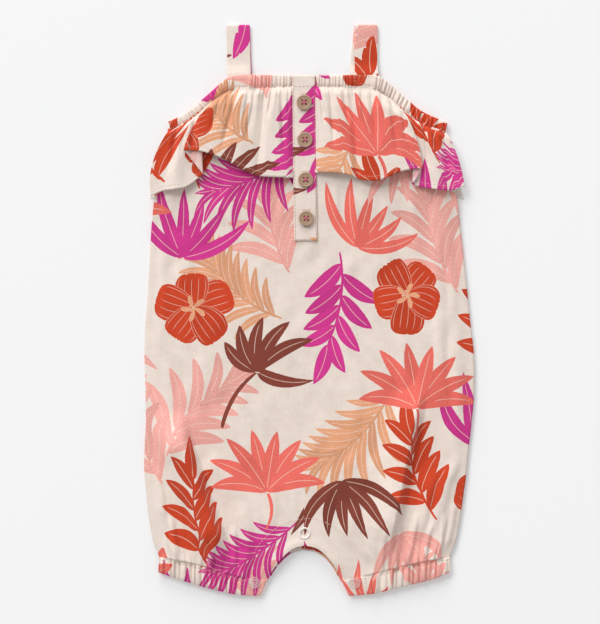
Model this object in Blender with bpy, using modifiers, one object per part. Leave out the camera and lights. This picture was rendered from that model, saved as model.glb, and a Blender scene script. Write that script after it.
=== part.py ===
"""Baby romper of light woven cloth, laid flat with its front up.

A front and a back panel run from the neckline into two short legs.  Ruffles hang from
an elastic casing round the neck and the armholes, a stitched placket carries four
buttons, folded straps join front and back, elastic cuffs close the legs, and three
snaps close the crotch.

Metres.  X points to the right of the laid garment, Y to its neckline and Z up.  The
origin lies on the surface that the romper rests on, under the middle of its outline.
Tables are in millimetres.
"""
import math
from collections import namedtuple

import bmesh
import bpy
import numpy as np
from mathutils import Vector
from mathutils.bvhtree import BVHTree

MM = 0.001

# Driving dimensions, in millimetres.
GAP = 0.3                    # clearance between pieces that are sewn together
BACK_WALL = 1.0              # cloth of the back panel
FRONT_WALL = 1.2             # cloth of the front panel
RUFFLE_WALL = 1.0            # cloth of a ruffle
PLACKET_WALL = 1.7           # folded strip of the placket
STRAP_WALL = 1.2             # doubled cloth of a strap
STRIP_WALL = 1.0             # facing of the back crotch edge
CASING_HEIGHT = 2.4          # neck and armhole casing, cloth round elastic
CUFF_HEIGHT = 2.7            # leg cuff, cloth round elastic

CENTRE_X = -4.3              # middle line of the panels as they lie
CROTCH_Y = -183.2            # lowest point of the middle line
CROTCH_SHARE = 0.14          # share of a panel's rows that run along the crotch curve
KNEE_Y = -158.0              # height on the side seam level with the crotch
SIDE_ROUND = 14.0            # width over which the front rises from its side seam
SIDE_CURL = 0.8              # how far the back's side seam lifts off the surface
CURL_WIDTH = 6.0
SEAM_GAP = 0.8               # clearance between a panel and a casing, along the cloth
CROTCH_ROOM = 1.5            # room for the back snap strip under the front's edge
CROTCH_ROUND = 11.0
BACK_CROTCH_DROP = 4.4       # the back's crotch edge shows this far below the front's
STRIP_WIDTH = 10.5

PANEL_COLUMNS = 16           # of each half
PANEL_ROWS = 34
BACK_COLUMNS = 7
BACK_ROWS = 26
RUFFLE_ROWS = 6
BAND_SIDES = 8               # corners of a casing's cross-section in front
BACK_BAND_SIDES = 6          # and where it lies on the surface
EDGE_REACH = 0.97            # share of a band's width that its edge keeps at a trough
BAND_SQUARE = 0.7            # below 1 the cross-section is squarer than an oval

# Outline of both panels at their side seams.
SideRow = namedtuple("SideRow", "y left right")
SIDES = (
    SideRow(141.0, -111.4, 108.2),
    SideRow(118.5, -115.9, 110.4),
    SideRow(98.8, -120.4, 114.2),
    SideRow(83.1, -122.6, 116.8),
    SideRow(63.5, -124.6, 119.1),
    SideRow(40.0, -125.9, 121.7),
    SideRow(16.0, -127.2, 124.3),
    SideRow(-8.0, -129.2, 126.6),
    SideRow(-35.0, -130.0, 129.6),
    SideRow(-62.0, -129.2, 129.8),
    SideRow(-86.0, -128.9, 127.8),
    SideRow(-110.0, -130.0, 125.2),
    SideRow(-125.0, -130.2, 123.8),
    SideRow(-141.0, -128.6, 121.6),
    SideRow(-164.5, -126.2, 118.3),
    SideRow(-180.2, -123.0, 115.1),
    SideRow(-193.6, -118.3, 109.9),
)

# Elastic bands: the outer edge, the seam that joins the panel, how many gathers lie
# between a row and the one before it, and the height of the band's underside.
BandRow = namedtuple("BandRow", "edge_x edge_y seam_x seam_y gathers floor")
NECK_LEFT = (
    BandRow(-14.2, 185.4, -14.2, 176.0, 0, 3.4),
    BandRow(-30.0, 185.6, -30.0, 175.5, 5, 3.9),
    BandRow(-46.2, 185.6, -46.6, 175.2, 5, 6.0),
    BandRow(-61.0, 184.6, -60.0, 174.0, 0, 6.0),
    BandRow(-69.6, 179.2, -67.0, 172.0, 3, 5.6),
    BandRow(-76.6, 173.3, -72.9, 168.0, 2, 4.1),
    BandRow(-82.9, 168.0, -79.2, 163.0, 2, 3.2),
    BandRow(-89.2, 162.1, -85.5, 157.3, 2, 3.2),
    BandRow(-95.5, 157.3, -92.5, 151.3, 2, 3.2),
    BandRow(-102.0, 153.2, -99.6, 146.7, 2, 3.2),
    BandRow(-111.2, 149.0, -109.4, 142.0, 2, 3.2),
)
NECK_RIGHT = (
    BandRow(5.0, 185.4, 5.0, 176.0, 0, 3.4),
    BandRow(20.0, 185.4, 20.0, 175.7, 5, 3.9),
    BandRow(35.2, 185.4, 35.2, 175.4, 5, 6.0),
    BandRow(51.5, 185.2, 50.5, 174.6, 0, 6.0),
    BandRow(58.6, 182.2, 56.0, 172.6, 2, 5.3),
    BandRow(64.8, 177.0, 61.5, 168.0, 2, 3.6),
    BandRow(71.1, 171.9, 67.3, 163.0, 2, 3.2),
    BandRow(79.0, 164.9, 75.0, 156.7, 2, 3.2),
    BandRow(85.3, 159.4, 82.0, 151.4, 2, 3.2),
    BandRow(91.6, 155.6, 89.0, 147.0, 2, 3.2),
    BandRow(99.4, 152.1, 97.2, 142.9, 2, 3.2),
    BandRow(108.6, 148.4, 106.8, 139.8, 2, 3.2),
)
CUFF_LEFT = (
    BandRow(-119.1, -206.0, -118.3, -194.0, 0, 3.3),
    BandRow(-108.1, -210.0, -108.1, -195.8, 2, 3.3),
    BandRow(-97.0, -213.6, -97.0, -197.8, 2, 3.3),
    BandRow(-86.1, -216.9, -86.1, -200.3, 2, 3.3),
    BandRow(-74.3, -220.2, -74.3, -203.6, 3, 3.3),
    BandRow(-64.1, -222.6, -64.1, -206.9, 3, 3.3),
    BandRow(-54.4, -224.2, -54.2, -209.8, 3, 3.3),
    BandRow(-39.0, -225.0, -33.6, -211.8, 0, 2.6),
)
CUFF_RIGHT = (
    BandRow(110.6, -206.0, 110.0, -194.0, 0, 3.3),
    BandRow(102.6, -209.8, 102.6, -194.9, 2, 3.3),
    BandRow(90.8, -213.4, 90.8, -197.3, 3, 3.3),
    BandRow(75.1, -217.2, 75.1, -200.5, 4, 3.3),
    BandRow(63.3, -220.2, 63.3, -203.6, 3, 3.3),
    BandRow(48.6, -223.4, 48.4, -207.6, 3, 3.3),
    BandRow(31.2, -225.0, 25.0, -211.8, 0, 2.6),
)

# Crotch curve of the front, from the middle line to the leg's inner corner.
CurveRow = namedtuple("CurveRow", "x y")
CROTCH_LEFT = (
    CurveRow(CENTRE_X, CROTCH_Y),
    CurveRow(-12.6, -185.6),
    CurveRow(-20.8, -192.2),
    CurveRow(-28.0, -201.2),
    CurveRow(-33.4, -211.6),
)
CROTCH_RIGHT = (
    CurveRow(CENTRE_X, CROTCH_Y),
    CurveRow(5.0, -185.2),
    CurveRow(13.0, -191.2),
    CurveRow(20.4, -201.2),
    CurveRow(24.8, -211.6),
)

# Room between the two panels at mid-width, from the neck down.
RoomRow = namedtuple("RoomRow", "y room")
ROOM = (
    RoomRow(176.0, 0.5),
    RoomRow(140.0, 0.9),
    RoomRow(100.0, 1.8),
    RoomRow(60.0, 2.7),
    RoomRow(0.0, 3.0),
    RoomRow(-60.0, 3.2),
    RoomRow(-130.0, 3.3),
    RoomRow(-170.0, 3.4),
    RoomRow(-195.0, 2.6),
    RoomRow(-212.0, 1.6),
)

# Folds of the front: a ridge line through three points, its height, and how far it
# reaches to the left and to the right.
Fold = namedtuple("Fold", "name x0 y0 x1 y1 x2 y2 height left right")
FOLDS = (
    Fold("left leg deep", -84.0, -101.0, -74.0, -152.0, -64.5, -198.0, 3.6, 8.0, 17.0),
    Fold("right leg deep", 81.5, -84.0, 73.0, -140.0, 63.0, -194.0, 3.6, 17.0, 8.0),
    Fold("left leg outer", -99.0, -146.0, -94.0, -164.0, -90.0, -190.0, 2.2, 8.0, 10.0),
    Fold("right leg middle", 93.5, -129.0, 87.0, -156.0, 83.0, -180.0, 2.2, 10.0, 8.0),
    Fold("right leg outer", 114.5, -111.0, 103.0, -140.0, 95.0, -178.0, 1.9, 9.0, 9.0),
    Fold("right leg inner", 32.0, -158.0, 39.0, -186.0, 48.0, -203.0, 2.1, 9.0, 9.0),
    Fold("left leg inner", -53.0, -148.0, -49.0, -176.0, -51.0, -203.0, 1.8, 9.0, 9.0),
    Fold("left side upper", -105.0, 66.0, -101.0, 40.0, -97.0, 12.0, 1.1, 10.0, 10.0),
    Fold("left under ruffle", -66.0, 104.0, -63.0, 84.0, -59.0, 60.0, 1.2, 10.0, 10.0),
    Fold("left by placket", -42.0, 92.0, -41.0, 76.0, -39.0, 58.0, 1.0, 9.0, 9.0),
    Fold("right under ruffle", 58.0, 92.0, 60.0, 66.0, 63.0, 36.0, 1.2, 10.0, 10.0),
    Fold("right side long", 96.0, 92.0, 101.0, 20.0, 103.0, -72.0, 1.3, 11.0, 11.0),
    Fold("right side low", 113.0, -14.0, 116.0, -50.0, 119.0, -88.0, 1.0, 9.0, 9.0),
    Fold("right middle", 72.0, -14.0, 74.0, -42.0, 75.0, -70.0, 0.9, 10.0, 10.0),
    Fold("left middle", -86.0, -30.0, -84.0, -58.0, -85.0, -84.0, 0.9, 10.0, 10.0),
)
FOLD_FADE = 0.28             # share of a fold's length that dies away at each end

PLEAT_HEIGHT = 1.3           # gathers that the cuffs send up into the legs
PLEAT_REACH = 15.0

# Ruffles: where a row leaves the casing's seam, where it ends at the hem, how far its
# middle bows to the right, and how far its hem lifts off what is under it.
RuffleRow = namedtuple("RuffleRow", "top_x top_y hem_x hem_y bow lift")
RUFFLE_LEFT = (
    RuffleRow(-14.5, 175.3, -14.4, 104.8, 0.0, 0.0),
    RuffleRow(-19.0, 175.1, -23.5, 104.6, 0.0, 2.8),
    RuffleRow(-25.0, 174.9, -32.0, 104.9, 0.0, 0.5),
    RuffleRow(-31.0, 174.7, -40.5, 105.7, 0.0, 3.2),
    RuffleRow(-37.0, 174.6, -48.0, 108.2, 0.0, 0.5),
    RuffleRow(-44.0, 174.5, -57.0, 112.8, 0.0, 3.0),
    RuffleRow(-51.0, 174.0, -66.0, 118.2, -1.0, 1.6),
    RuffleRow(-58.0, 173.4, -75.0, 122.0, -2.0, 4.4),
    RuffleRow(-66.0, 171.4, -86.0, 124.9, -3.0, 3.9),
    RuffleRow(-72.5, 167.4, -97.2, 125.6, -4.0, 4.0),
    RuffleRow(-73.7, 166.5, -98.4, 125.3, -4.0, 3.1),
    RuffleRow(-74.8, 165.6, -97.0, 124.0, -4.0, 2.0),
    RuffleRow(-77.0, 163.9, -85.2, 109.0, -3.0, 2.0),
    RuffleRow(-78.2, 162.9, -83.9, 107.2, -3.0, 1.0),
    RuffleRow(-79.4, 161.9, -85.4, 105.6, -3.0, 0.0),
    RuffleRow(-84.0, 157.9, -96.0, 97.4, -3.0, 0.4),
    RuffleRow(-90.0, 152.7, -106.0, 95.0, -4.0, 2.4),
    RuffleRow(-98.0, 147.0, -115.5, 93.8, -5.0, 0.4),
    RuffleRow(-110.8, 141.2, -124.6, 89.5, -5.6, 0.2),
)
RUFFLE_RIGHT = (
    RuffleRow(5.5, 175.3, 6.8, 108.7, 0.0, 0.0),
    RuffleRow(11.0, 175.2, 15.5, 108.3, 0.0, 2.6),
    RuffleRow(17.0, 175.1, 24.0, 107.7, 0.0, 0.5),
    RuffleRow(23.0, 174.9, 32.5, 105.9, 0.0, 3.1),
    RuffleRow(29.5, 174.8, 40.0, 102.8, 0.0, 0.5),
    RuffleRow(36.0, 174.7, 49.5, 101.6, 0.0, 3.2),
    RuffleRow(43.0, 174.5, 59.0, 103.4, 1.0, 1.4),
    RuffleRow(51.0, 173.8, 68.5, 107.9, 2.5, 4.3),
    RuffleRow(62.0, 167.0, 78.5, 110.4, 3.5, 3.9),
    RuffleRow(72.0, 158.6, 87.0, 111.2, 3.0, 4.0),
    RuffleRow(73.3, 157.5, 88.2, 110.9, 3.0, 3.1),
    RuffleRow(74.5, 156.5, 87.0, 109.4, 3.0, 2.0),
    RuffleRow(77.0, 154.5, 82.2, 101.4, 2.0, 2.0),
    RuffleRow(78.2, 153.6, 80.8, 99.9, 2.0, 1.0),
    RuffleRow(79.4, 152.8, 82.4, 98.4, 2.0, 0.0),
    RuffleRow(84.0, 149.7, 91.5, 96.2, 2.0, 0.4),
    RuffleRow(90.0, 146.0, 101.0, 94.9, 2.0, 2.4),
    RuffleRow(97.5, 142.4, 111.0, 94.4, 2.0, 0.4),
    RuffleRow(108.4, 139.0, 121.6, 97.7, 2.0, 0.2),
)
RUFFLE_RISE = 0.24           # share of the ruffle's depth over which its waves open
RUFFLE_STEPS = 2             # columns of faces between two rows of its table
RUFFLE_CLEAR = 0.5

# Back ruffle: its hem under the back panel, from left to right.
HemRow = namedtuple("HemRow", "top_x top_y hem_x hem_y")
RUFFLE_BACK = (
    HemRow(-109.0, 141.4, -125.6, 89.0),
    HemRow(-99.0, 146.4, -112.0, 87.0),
    HemRow(-86.0, 156.4, -96.0, 91.0),
    HemRow(-72.5, 167.6, -78.0, 88.5),
    HemRow(-58.0, 173.4, -60.0, 92.0),
    HemRow(-38.0, 174.6, -40.0, 89.0),
    HemRow(-18.0, 175.2, -19.0, 92.0),
    HemRow(2.0, 175.2, 3.0, 89.0),
    HemRow(22.0, 175.0, 24.0, 92.0),
    HemRow(42.0, 174.4, 44.0, 88.5),
    HemRow(57.0, 170.0, 63.0, 91.5),
    HemRow(70.8, 158.0, 80.0, 88.5),
    HemRow(85.0, 147.4, 97.0, 91.0),
    HemRow(106.2, 139.3, 122.0, 88.0),
)
BACK_RUFFLE_HEM = 85.5       # lowest point of that hem
BACK_RUFFLE_SLOPE = 22.0     # length of the step in the back panel below that hem

# Placket: the strip's two long edges, from its top to its bottom.
PlacketRow = namedtuple("PlacketRow", "y left right")
PLACKET = (
    PlacketRow(185.4, -13.8, 4.4),
    PlacketRow(120.0, -13.0, 5.2),
    PlacketRow(54.8, -12.1, 6.0),
)
PLACKET_FLAT = 172.0         # above this the placket runs on level over the casing

BUTTON_RADIUS = 5.9
ButtonRow = namedtuple("ButtonRow", "name x y")
BUTTONS = (
    ButtonRow("button_1", -4.3, 163.7),
    ButtonRow("button_2", -3.6, 134.2),
    ButtonRow("button_3", -3.1, 102.8),
    ButtonRow("button_4", -2.6, 72.5),
)
BUTTON_STEPS = 16
HOLE_RADIUS = 0.75
HOLE_OFFSET = 1.35
HOLE_SIDES = 6

# Turned profile of a button, from the middle of its face to the middle of its back.
ProfileRow = namedtuple("ProfileRow", "radius z")
BUTTON_PROFILE = (
    ProfileRow(0.0, 1.5),
    ProfileRow(3.7, 1.5),
    ProfileRow(4.7, 2.2),
    ProfileRow(5.9, 1.4),
    ProfileRow(5.0, 0.0),
    ProfileRow(0.0, 0.0),
)
SNAP_CAP_PROFILE = (
    ProfileRow(0.0, 0.9),
    ProfileRow(2.6, 0.8),
    ProfileRow(3.1, 1.3),
    ProfileRow(4.5, 0.8),
    ProfileRow(4.5, 0.0),
    ProfileRow(0.0, 0.0),
)
SNAP_STEPS = 18
SNAP_RING_RADIUS = 3.7
SNAP_RING_WIRE = 0.8
SnapRow = namedtuple("SnapRow", "name x y ring")
SNAPS = (
    SnapRow("snap_middle", -3.9, -174.7, True),
    SnapRow("snap_left", -43.6, -213.8, False),
    SnapRow("snap_right", 35.6, -213.8, False),
)

# Strap, as a path from its back end round the shoulder fold to its front end: the
# height of the middle of the cloth, and how far it lies to the left of its front end.
StrapRow = namedtuple("StrapRow", "y z back_share")
STRAP_FOLD_Y = 223.5
STRAP_FOLD_RADIUS = 0.9
STRAP_FLOOR = 0.62
STRAP = (
    StrapRow(177.5, 3.45, 1.0),
    StrapRow(185.5, 3.4, 1.0),
    StrapRow(190.0, 2.1, 1.0),
    StrapRow(196.0, STRAP_FLOOR, 0.9),
    StrapRow(210.0, STRAP_FLOOR, 0.5),
)
STRAP_FRONT = (
    StrapRow(210.0, 2.42, 0.0),
    StrapRow(196.0, 2.5, 0.0),
    StrapRow(190.0, 3.9, 0.0),
    StrapRow(185.5, 5.15, 0.0),
    StrapRow(177.5, 5.15, 0.0),
)
STRAP_WIDTH = 18.4
# Middle of a strap at the casing and at its fold, and how far its back half peeks out.
StrapPlace = namedtuple("StrapPlace", "name foot_x fold_x back_shift")
STRAPS = (
    StrapPlace("strap_left", -54.7, -55.8, 0.6),
    StrapPlace("strap_right", 45.0, 44.4, -3.6),
)

# Colours of the materials, linear.
CLOTH = (0.78, 0.68, 0.60, 1.0)
ELASTIC_CLOTH = (0.74, 0.64, 0.56, 1.0)
SHELL_TAN = (0.42, 0.27, 0.19, 1.0)
SNAP_WHITE = (0.80, 0.77, 0.74, 1.0)


# ---------------------------------------------------------------- tables and curves

def column(rows, name):
    """One column of a table, as a list."""
    return [getattr(row, name) for row in rows]


def blend(values, place):
    """Catmull-Rom value of a column at a row position such as 2.4."""
    last = len(values) - 1
    low = max(0, min(int(place), last - 1))
    part = place - low
    a, b, c, d = (values[min(max(low + step, 0), last)] for step in (-1, 0, 1, 2))
    bend = 2 * a - 5 * b + 4 * c - d
    twist = 3 * b - a - 3 * c + d
    return 0.5 * (2 * b + (c - a) * part + bend * part ** 2 + twist * part ** 3)


def row_point(rows, place, x_name, y_name):
    """A point of the plan read from two columns of a table."""
    return Vector((blend(column(rows, x_name), place), blend(column(rows, y_name), place)))


def ease(value):
    """0 below 0, 1 above 1, and a smooth step between."""
    value = min(max(value, 0.0), 1.0)
    return value * value * (3.0 - 2.0 * value)


def dome(value):
    """Quarter of an ellipse: 0 at 0, steep, then level from 1 on."""
    value = min(max(value, 0.0), 1.0)
    return math.sqrt(1.0 - (1.0 - value) ** 2)


# ---------------------------------------------------------------- plan of the panels

class Half:
    """One half of a panel in plan, from its side seam to the middle line."""

    def __init__(self, side, neck, cuff, crotch):
        self.side = side
        self.neck = neck
        self.cuff = cuff
        self.crotch = crotch

    def side_x(self, y):
        """X of the side seam at a height."""
        heights = column(SIDES, "y")
        place = np.interp(-y, [-height for height in heights], range(len(heights)))
        return blend(column(SIDES, self.side), float(place))

    def side_point(self, up):
        """Point of the side seam, from the cuff at 0 to the underarm at 1."""
        knots = (0.0, CROTCH_SHARE, 1.0)
        y = float(np.interp(up, knots, (SIDES[-1].y, KNEE_Y, SIDES[0].y)))
        return Vector((self.side_x(y), y))

    def middle_point(self, up, drop):
        """Point of the crotch curve and, above it, of the middle line."""
        if up >= CROTCH_SHARE:
            share = (up - CROTCH_SHARE) / (1.0 - CROTCH_SHARE)
            top = self.neck[0].seam_y - SEAM_GAP
            return Vector((CENTRE_X, CROTCH_Y - drop + share * (top - CROTCH_Y + drop)))
        share = 1.0 - up / CROTCH_SHARE
        point = row_point(self.crotch, share * (len(self.crotch) - 1), "x", "y")
        return point - Vector((0.0, drop * (1.0 - share ** 2)))

    def seam_point(self, rows, across, corner, centre):
        """Point of a band's seam, at an even share of the way across the half."""
        x = corner.x + across * (centre.x - corner.x)
        pairs = sorted(zip(column(rows, "seam_x"), column(rows, "seam_y")))
        y = np.interp(x, [pair[0] for pair in pairs], [pair[1] for pair in pairs])
        return Vector((x, float(y)))

    def point(self, across, up, drop=0.0):
        """Transfinite blend of the four edges of the half."""
        side = self.side_point(up)
        middle = self.middle_point(up, drop)
        top_side, top_middle = self.side_point(1.0), self.middle_point(1.0, drop)
        low_side, low_middle = self.side_point(0.0), self.middle_point(0.0, drop)
        gap = Vector((0.0, SEAM_GAP))
        top = self.seam_point(self.neck, across, top_side, top_middle) - gap
        low = self.seam_point(self.cuff, across, low_side, low_middle) + gap
        corners = (1 - up) * ((1 - across) * low_side + across * low_middle)
        corners += up * ((1 - across) * top_side + across * top_middle)
        return (1 - across) * side + across * middle + (1 - up) * low + up * top - corners


LEFT_HALF = Half("left", NECK_LEFT, CUFF_LEFT, CROTCH_LEFT)
RIGHT_HALF = Half("right", NECK_RIGHT, CUFF_RIGHT, CROTCH_RIGHT)


def half_at(x):
    """The half that a point of the plan lies in."""
    return LEFT_HALF if x < CENTRE_X else RIGHT_HALF


def side_distance(x, y):
    """How far a point lies inside the side seam."""
    reach = abs(half_at(x).side_x(y) - CENTRE_X) - abs(x - CENTRE_X)
    return max(reach, 0.0)


def crotch_curve(samples=12):
    """Points of the crotch edge from the left leg's corner to the right leg's."""
    places = [len(CROTCH_LEFT) - 1 - k * (len(CROTCH_LEFT) - 1) / samples
              for k in range(samples)]
    left = [row_point(CROTCH_LEFT, place, "x", "y") for place in places]
    places = [k * (len(CROTCH_RIGHT) - 1) / samples for k in range(samples + 1)]
    return left + [row_point(CROTCH_RIGHT, place, "x", "y") for place in places]


CROTCH_LINE = crotch_curve()


def crotch_distance(x, y):
    """How far a point lies from the crotch edge."""
    spot = Vector((x, y))
    return min((spot - point).length for point in CROTCH_LINE)


# ---------------------------------------------------------------- heights of the cloth

def back_under(x, y):
    """Underside of the back panel: on the surface, over the ruffle, curled at the side."""
    step = ease((y - BACK_RUFFLE_HEM + BACK_RUFFLE_SLOPE) / BACK_RUFFLE_SLOPE)
    curl = 1.0 - ease(side_distance(x, y) / CURL_WIDTH)
    return (RUFFLE_WALL + GAP) * step + SIDE_CURL * curl


def fold_relief(x, y):
    """Height that the folds add, each a ridge with its own two slopes."""
    total = 0.0
    for fold in FOLDS:
        ridge_y = (fold.y0, fold.y1, fold.y2)
        share = (fold.y0 - y) / (fold.y0 - fold.y2)
        if not 0.0 < share < 1.0:
            continue
        place = np.interp(-y, [-value for value in ridge_y], (0.0, 1.0, 2.0))
        offset = x - blend((fold.x0, fold.x1, fold.x2), float(place))
        reach = fold.left if offset < 0.0 else fold.right
        if abs(offset) >= reach:
            continue
        profile = 0.5 + 0.5 * math.cos(math.pi * offset / reach)
        fade = ease(share / FOLD_FADE) * ease((1.0 - share) / FOLD_FADE)
        total = max(total, fold.height * profile * fade)
    return total


def front_under(x, y):
    """Underside of the front panel, above the back panel."""
    heights = [-row.y for row in ROOM]
    room = float(np.interp(-y, heights, column(ROOM, "room")))
    room *= dome(side_distance(x, y) / SIDE_ROUND)
    near = dome(crotch_distance(x, y) / CROTCH_ROUND)
    room = CROTCH_ROOM + (max(room, CROTCH_ROOM) - CROTCH_ROOM) * near if near < 1.0 else room
    return back_under(x, y) + BACK_WALL + GAP + room + fold_relief(x, y) * near


# ---------------------------------------------------------------- building meshes

def new_object(name, bm, material, collection):
    """Link a finished bmesh as an object with its material."""
    mesh = bpy.data.meshes.new(name)
    bm.to_mesh(mesh)
    bm.free()
    mesh.materials.append(material)
    piece = bpy.data.objects.new(name, mesh)
    collection.objects.link(piece)
    return piece


def make_material(name, colour, roughness, metallic=0.0):
    """Principled material with a plain finish."""
    material = bpy.data.materials.new(name)
    material.use_nodes = True
    shader = material.node_tree.nodes["Principled BSDF"]
    shader.inputs["Base Color"].default_value = colour
    shader.inputs["Roughness"].default_value = roughness
    shader.inputs["Metallic"].default_value = metallic
    material.diffuse_color = colour
    return material


def add_grid(bm, columns, rows, place):
    """Add a grid whose corners, in shares of its two sides, are moved by a function."""
    made = bmesh.ops.create_grid(bm, x_segments=columns, y_segments=rows, size=0.5)
    for vert in made["verts"]:
        vert.co = Vector(place(vert.co.x + 0.5, vert.co.y + 0.5)) * MM


def cloth_wall(piece, wall, offset):
    """Give an open sheet its thickness, above it at offset 1 and on both sides at 0."""
    solidify = piece.modifiers.new("Cloth wall", "SOLIDIFY")
    solidify.thickness = wall * MM
    solidify.offset = offset
    solidify.use_quality_normals = True
    return piece


def shade_smooth(piece, angle=35.0):
    """Smooth shading with creases at the sharp edges."""
    piece.data.shade_smooth()
    piece.data.set_sharp_from_angle(angle=math.radians(angle))


def sheet(name, columns, rows, place, wall, material, collection, offset=1.0):
    """A cloth sheet made from one grid."""
    bm = bmesh.new()
    add_grid(bm, columns, rows, place)
    piece = new_object(name, bm, material, collection)
    shade_smooth(piece)
    return cloth_wall(piece, wall, offset)


def rolled_band(name, stations, sides, place, material, collection):
    """A closed band: a grid rolled into a tube along its stations, with flat ends."""
    bm = bmesh.new()
    last = len(stations) - 1

    def roll(along, around):
        return place(stations[round(along * last)], 2.0 * math.pi * around)

    add_grid(bm, last, sides, roll)
    bmesh.ops.remove_doubles(bm, verts=bm.verts, dist=1e-6)
    rims = [edge for edge in bm.edges if edge.is_boundary]
    bmesh.ops.holes_fill(bm, edges=rims, sides=sides)
    bmesh.ops.recalc_face_normals(bm, faces=bm.faces)
    piece = new_object(name, bm, material, collection)
    shade_smooth(piece)
    return piece


class Support:
    """Top surface of finished pieces, for what is laid on them."""

    def __init__(self, pieces):
        graph = bpy.context.evaluated_depsgraph_get()
        self.trees = [BVHTree.FromObject(piece, graph) for piece in pieces]

    def height(self, x, y, reach, default):
        """Highest point within a reach of a place, in millimetres."""
        best = default
        for step_x in (-1, 0, 1):
            for step_y in (-1, 0, 1):
                start = Vector((x + step_x * reach, y + step_y * reach, 100.0)) * MM
                for tree in self.trees:
                    hit = tree.ray_cast(start, Vector((0.0, 0.0, -1.0)))[0]
                    if hit is not None:
                        best = max(best, hit.z / MM)
        return best


# ---------------------------------------------------------------- the sewn pieces

def make_back_panel(material, collection):
    """Back of body and legs, lying on the surface and on the back ruffle."""
    bm = bmesh.new()
    for half, flip in ((LEFT_HALF, False), (RIGHT_HALF, True)):
        def place(across, up, half=half, flip=flip):
            spot = half.point(1.0 - across if flip else across, up, BACK_CROTCH_DROP)
            return spot.x, spot.y, back_under(spot.x, spot.y)
        add_grid(bm, BACK_COLUMNS, BACK_ROWS, place)
    bmesh.ops.remove_doubles(bm, verts=bm.verts, dist=1e-6)
    piece = new_object("back_panel", bm, material, collection)
    shade_smooth(piece)
    return cloth_wall(piece, BACK_WALL, 1.0)


def pleat_relief(column_index, seam_distance):
    """Gathers above a cuff: every other column of the panel stands up."""
    crest = column_index % 2
    return PLEAT_HEIGHT * crest * math.exp(-(seam_distance / PLEAT_REACH) ** 2)


def make_front_panel(material, collection):
    """Front of body and legs, with its folds."""
    bm = bmesh.new()
    for half, flip in ((LEFT_HALF, False), (RIGHT_HALF, True)):
        def place(across, up, half=half, flip=flip):
            inward = 1.0 - across if flip else across
            spot = half.point(inward, up)
            low = half.point(inward, 0.0)
            pleat = pleat_relief(round(inward * PANEL_COLUMNS), (spot - low).length)
            edge = min(side_distance(spot.x, spot.y), crotch_distance(spot.x, spot.y))
            pleat *= ease(edge / CURL_WIDTH)
            return spot.x, spot.y, front_under(spot.x, spot.y) + pleat
        add_grid(bm, PANEL_COLUMNS, PANEL_ROWS, place)
    bmesh.ops.remove_doubles(bm, verts=bm.verts, dist=1e-6)
    piece = new_object("front_panel", bm, material, collection)
    shade_smooth(piece)
    return cloth_wall(piece, FRONT_WALL, 1.0)


def make_snap_strip(material, collection):
    """Facing along the back's crotch edge, seen below the front's edge."""
    line = [point - Vector((0.0, BACK_CROTCH_DROP - 0.2)) for point in CROTCH_LINE[2:-2]]

    def place(along, across):
        spot = blend(line, along * (len(line) - 1))
        ahead = blend(line, min(along + 0.01, 1.0) * (len(line) - 1))
        behind = blend(line, max(along - 0.01, 0.0) * (len(line) - 1))
        tangent = (ahead - behind).normalized()
        spot = spot + Vector((-tangent.y, tangent.x)) * across * STRIP_WIDTH
        return spot.x, spot.y, back_under(spot.x, spot.y) + BACK_WALL + GAP

    return sheet("snap_strip_back", 20, 2, place, STRIP_WALL, material, collection)


def ruffle_place(rows, ground):
    """Point of a front ruffle, from the placket at 0 to the underarm at 1, hem at 0."""
    def place(along, up):
        where = along * (len(rows) - 1)
        down = 1.0 - up
        top = row_point(rows, where, "top_x", "top_y")
        hem = row_point(rows, where, "hem_x", "hem_y")
        spot = top + (hem - top) * down
        spot.x += blend(column(rows, "bow"), where) * 4.0 * down * (1.0 - down)
        lift = max(blend(column(rows, "lift"), where), 0.0) * ease(down / RUFFLE_RISE)
        return spot.x, spot.y, ground(spot.x, spot.y) + RUFFLE_CLEAR + lift
    return place


def make_front_ruffle(name, rows, support, material, collection):
    """One gathered ruffle of the front, with a deep fold over itself."""
    def ground(x, y):
        inside = half_at(x).side_x(y)
        nearest = max(min(x, abs(inside) - 2.0), -abs(inside) + 2.0)
        return support.height(nearest, y, 2.5, 4.0)

    leftwards = rows[-1].top_x < rows[0].top_x
    place = ruffle_place(rows[::-1] if leftwards else rows, ground)
    columns = (len(rows) - 1) * RUFFLE_STEPS
    return sheet(name, columns, RUFFLE_ROWS, place, RUFFLE_WALL, material, collection)


def make_back_ruffle(material, collection):
    """Ruffle of the back, pressed flat under the back panel."""
    def place(along, up):
        where = along * (len(RUFFLE_BACK) - 1)
        top = row_point(RUFFLE_BACK, where, "top_x", "top_y")
        hem = row_point(RUFFLE_BACK, where, "hem_x", "hem_y")
        spot = hem + (top - hem) * up
        return spot.x, spot.y, 0.0

    columns = (len(RUFFLE_BACK) - 1) * 2
    return sheet("ruffle_back", columns, 3, place, RUFFLE_WALL, material, collection)


def band_stations(rows):
    """Row positions of a band's sections: a crest and a trough for each gather."""
    stations = [0.0]
    for index, row in enumerate(rows[1:], 1):
        parts = max(2 * row.gathers, 3)
        stations += [index - 1 + (part + 1) / parts for part in range(parts)]
    return stations


def gather_phase(rows, place):
    """Gathers from the start of a band to a row position, and 0 where it is plain."""
    counts = np.cumsum(column(rows, "gathers"))
    ahead = rows[min(int(place) + 1, len(rows) - 1)].gathers
    return float(np.interp(place, range(len(rows)), counts)), 1.0 if ahead else 0.0


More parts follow.
